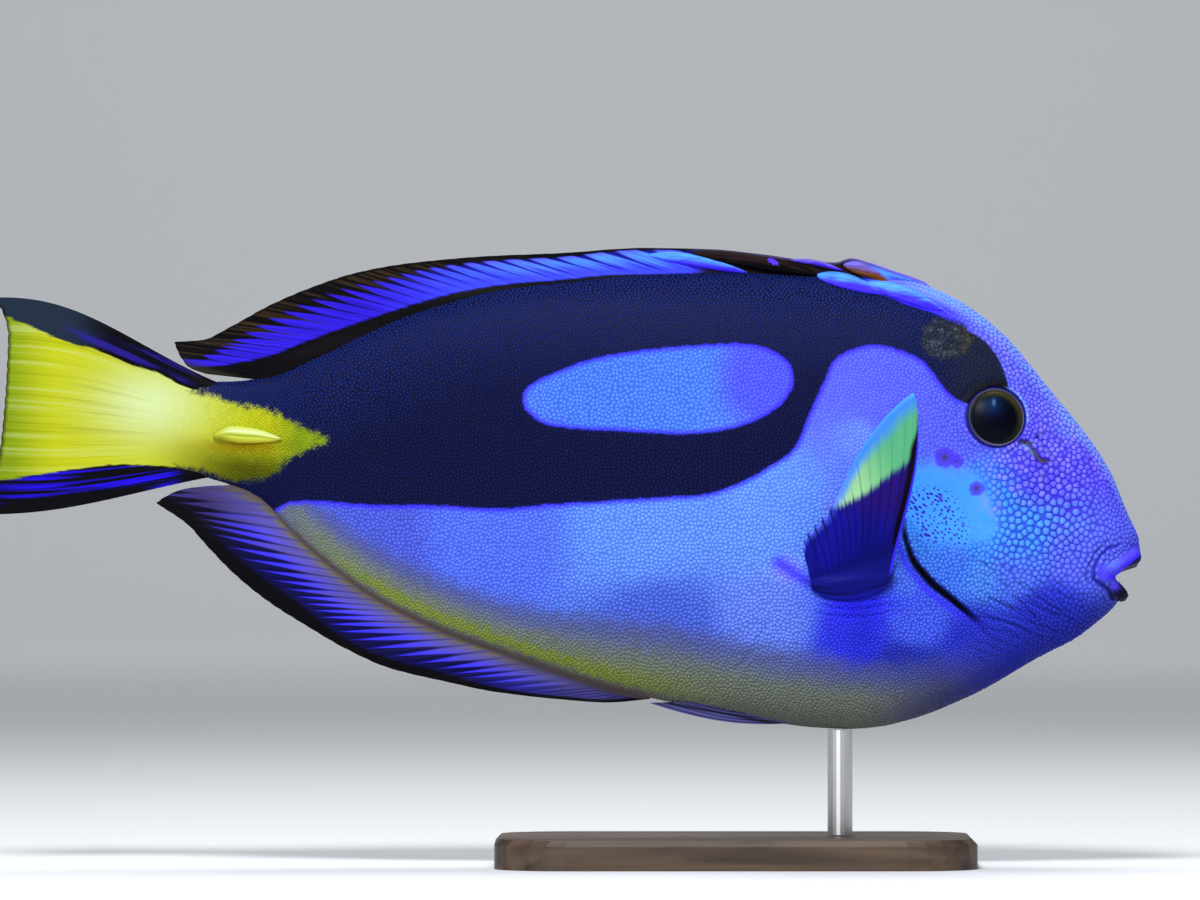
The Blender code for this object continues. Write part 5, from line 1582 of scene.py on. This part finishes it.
def make_eye(word, side, look):
    """A domed eye: a great dark pupil with painted sheen and glint, a thin olive iris, a raised silver ring
    with painted light and shade.
    """
    at, normal = surface_frame(*EYE_AT, side)
    turn = Vector((0, 0, 1)).rotation_difference(normal).to_matrix()
    steps = np.concatenate([np.linspace(0.0, 4.4, 16), np.linspace(4.6, 6.9, 24)])
    radii, angles = np.meshgrid(steps, np.linspace(0, 2 * math.pi, 96, endpoint=False), indexing="ij")
    rise = EYE_PROUD - EYE_DEPTH + EYE_DEPTH * np.sqrt(1 - (radii / EYE_RADIUS) ** 2)
    rise = rise - 0.08 * band(radii, 4.9, 5.1, 5.3, 5.5) + 0.12 * bell(radii - EYE_RING, 0.12)
    local = np.stack([radii * np.cos(angles), radii * np.sin(angles), rise], 2).reshape(-1, 3)
    points = local @ np.array(turn).T + np.array(at)
    away_x, away_z = points[:, 0] - EYE_AT[0], points[:, 2] - EYE_AT[1]
    radius = radii.ravel()
    lean = (away_x + away_z) / 1.414 / np.maximum(radius, 0.1)
    pupil_edge = np.hypot(away_x + 0.38, away_z + 0.45)
    grain = cloud(points, 0.35, 61)
    olive = ramp(pupil_edge + 0.12 * grain, 4.5, 5.4)
    # painted reflection: a soft blue sheen on the pupil
    tint = mix(PUPIL, PUPIL_SHEEN, 0.7 * bell(np.hypot(away_x + 0.9, away_z - 2.5), 1.9))
    # painted highlight: a small glint on the pupil
    tint = mix(tint, PUPIL_GLINT, 0.5 * oval(away_x, away_z, (-0.5, 3.0), 0.3, 0.6))
    tint = mix(tint, IRIS_GREEN, ramp(pupil_edge, 4.2, 4.8))
    tint = mix(tint, IRIS_OLIVE, olive * ramp(lean + 0.3 * grain, -0.2, 0.8))
    tint = mix(tint, BLACK, 0.7 * bell(radius - 5.45, 0.10))
    # painted light: the silver ring brighter on its lower front side
    lit = 0.35 + 0.65 * ramp(away_x - away_z, -3, 5)
    tint = mix(tint, RING_SILVER, bell(radius - EYE_RING, 0.11) * lit)
    # painted shade in the groove between the ring and the skin
    tint = mix(tint, RING_SHADE, ramp(radius - 5.85, 0.0, 0.12))
    faces = grid_faces(*radii.shape, wrap=True)
    return outward(fast_mesh(f"eye_dome_{word}", points, faces, look, np.clip(tint, 0, 1)))


def tinted_material(name, roughness, specular, coat=0.0):
    """A material that shows the painted tint."""
    made, tree, shader = new_material(name, Roughness=roughness, Specular_IOR_Level=specular)
    shader.inputs["Coat Weight"].default_value = coat
    shader.inputs["Coat Roughness"].default_value = 0.03
    link(node(tree, "ShaderNodeAttribute", attribute_name="tint"), "Color", shader, "Base Color")
    return made


def stretched_grain(tree, stretch, **values):
    """Noise that is fixed to the object and stretched along it."""
    where = node(tree, "ShaderNodeTexCoord")
    mapping = node(tree, "ShaderNodeMapping", Scale=stretch)
    grain = node(tree, "ShaderNodeTexNoise", Scale=1.0, **values)
    link(where, "Object", mapping, "Vector")
    link(mapping, "Vector", grain, "Vector")
    return grain


def wood_material():
    """Dark stained wood with a lengthwise grain."""
    made, tree, shader = new_material("wood", Roughness=0.5, Specular_IOR_Level=0.4)
    grain = stretched_grain(tree, (18.0, 260.0, 260.0), Detail=6.0, Distortion=0.6)
    stain = node(tree, "ShaderNodeValToRGB")
    for stop, position, shade in zip(stain.color_ramp.elements, (0.35, 0.68), (DARK_WOOD, PALE_WOOD)):
        stop.position = position
        stop.color = (*shade, 1.0)
    link(grain, "Fac", stain, "Fac")
    link(stain, "Color", shader, "Base Color")
    add_bump(grain, "Fac", shader, 0.3, 0.15)
    return made


def steel_material():
    """Satin steel, brushed round the rod."""
    made, tree, shader = new_material("steel", Roughness=0.32, Metallic=1.0)
    shader.inputs["Base Color"].default_value = (*STEEL, 1.0)
    add_bump(stretched_grain(tree, (60.0, 60.0, 9000.0), Detail=2.0), "Fac", shader, 0.2, 0.02)
    return made


def declare(piece, nodes):
    """Fixes a piece to the body, and hides the parts of model.glb that it stands in for."""
    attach(piece, "root")
    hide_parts(*nodes)


def make_fins():
    """All fins, and the blades of the tail."""
    look = tinted_material("fin", 0.5, 0.035)
    dorsal = median_fin(
        "dorsal_sail", DORSAL_RAYS, DORSAL_SPREAD, DORSAL_ROOT_X, back, -FOOT_DEPTH, DORSAL_EDGE,
        DORSAL_SWEEP, DORSAL_TAIL_EDGE, dorsal_tint, look,
    )
    declare(dorsal, ["dorsal_fin"])
    anal = median_fin(
        "anal_sail", ANAL_RAYS, ANAL_SPREAD, ANAL_ROOT_X, belly, FOOT_DEPTH, ANAL_EDGE, ANAL_SWEEP,
        ANAL_TAIL_EDGE, anal_tint, look,
    )
    declare(anal, ["anal_fin"])
    declare(make_caudal_fin(look), ["caudal_fin"])
    for word, side in SIDES:
        for number, shape in enumerate(DORSAL_FOLDS):
            fold = make_fold(f"dorsal_fold_{number}_{word}", *shape, side, look)
            declare(fold, ["dorsal_fin"])
    bone = tinted_material("bone", 0.35, 0.2)
    eye_look = tinted_material("eye", 0.36, 0.05)
    for word, side in SIDES:
        declare(make_pectoral_fin(word, side, look), [f"pectoral_fin_{word}"])
        declare(make_pelvic_fin(word, side, look), [f"pelvic_fin_{word}"])
        declare(make_blade(word, side, bone), [f"caudal_spine_{word}"])
        declare(make_eye(word, side, eye_look), [f"eye_{word}"])


def make_floor():
    """A pale floor that curves up into a backdrop, far enough off to leave room for a view from behind."""
    made, _, shader = new_material("studio_paper", Roughness=0.9)
    shader.inputs["Base Color"].default_value = (*PAPER, 1.0)
    profile = [(FLOOR_FRONT_Y, 0.0), (BACKDROP_Y, 0.0)]
    for turn in np.linspace(0, math.pi / 2, 16):
        forward, up = BACKDROP_BEND * math.sin(turn), BACKDROP_BEND * (1 - math.cos(turn))
        profile.append((BACKDROP_Y + forward, up))
    profile.append((BACKDROP_Y + BACKDROP_BEND, BACKDROP_TOP))
    points = [(x, y, z) for y, z in profile for x in (-FLOOR_HALF_WIDTH, FLOOR_HALF_WIDTH)]
    faces = [[2 * k, 2 * k + 1, 2 * k + 3, 2 * k + 2] for k in range(len(profile) - 1)]
    floor = fast_mesh("studio_floor", np.array(points) / MM, faces, made)


def soft_light(name, place, target, size, watts):
    """A soft round light aimed at a target; its size is in metres."""
    lamp = bpy.data.lights.new(name, "AREA")
    lamp.shape = "ELLIPSE"
    lamp.size = size
    lamp.size_y = size
    lamp.energy = watts
    made = bpy.data.objects.new(name, lamp)
    made.location = place
    made.rotation_euler = (Vector(target) - Vector(place)).to_track_quat("-Z", "Y").to_euler()
    bpy.context.scene.collection.objects.link(made)


def make_lights():
    """A key light above and in front, a fill, one above and behind, one for the backdrop, a dim surround."""
    soft_light("key", (-0.10, -0.80, 0.90), LIT_POINT, 0.32, 14)
    soft_light("fill", (-0.58, -1.3, 0.20), LIT_POINT, 0.9, 4.8)
    soft_light("top", (0.10, 0.35, 1.0), LIT_POINT, 0.6, 6)
    soft_light("backdrop", (0, 2.4, 1.7), (0, BACKDROP_Y + 0.5, 0.1), 0.8, 11)
    world = bpy.data.worlds.new("studio")
    world.use_nodes = True
    surround = world.node_tree.nodes["Background"]
    surround.inputs["Color"].default_value = (*SURROUND, 1.0)
    surround.inputs["Strength"].default_value = 0.24
    bpy.context.scene.world = world
    bpy.context.scene.view_settings.view_transform = "Standard"


def make_camera():
    """The photo's view: level, square to the fish's right side."""
    lens = bpy.data.cameras.new("camera")
    lens.sensor_width = SENSOR
    lens.lens = LENS
    made = bpy.data.objects.new("camera", lens)
    made.location = CAMERA_AT
    made.rotation_euler = (math.pi / 2, 0, 0)
    bpy.context.scene.collection.objects.link(made)
    bpy.context.scene.camera = made


make_camera()
make_floor()
make_lights()
skin_look = skin_material()
skin = make_skin(skin_look)
scales = make_scales(skin, skin_look)
for piece in [skin] + scales:
    declare(piece, ["head", "torso", "tail_peduncle"])
make_fins()
bpy.data.objects["stand_base"].material_slots[0].material = wood_material()
bpy.data.objects["stand_rod"].material_slots[0].material = steel_material()
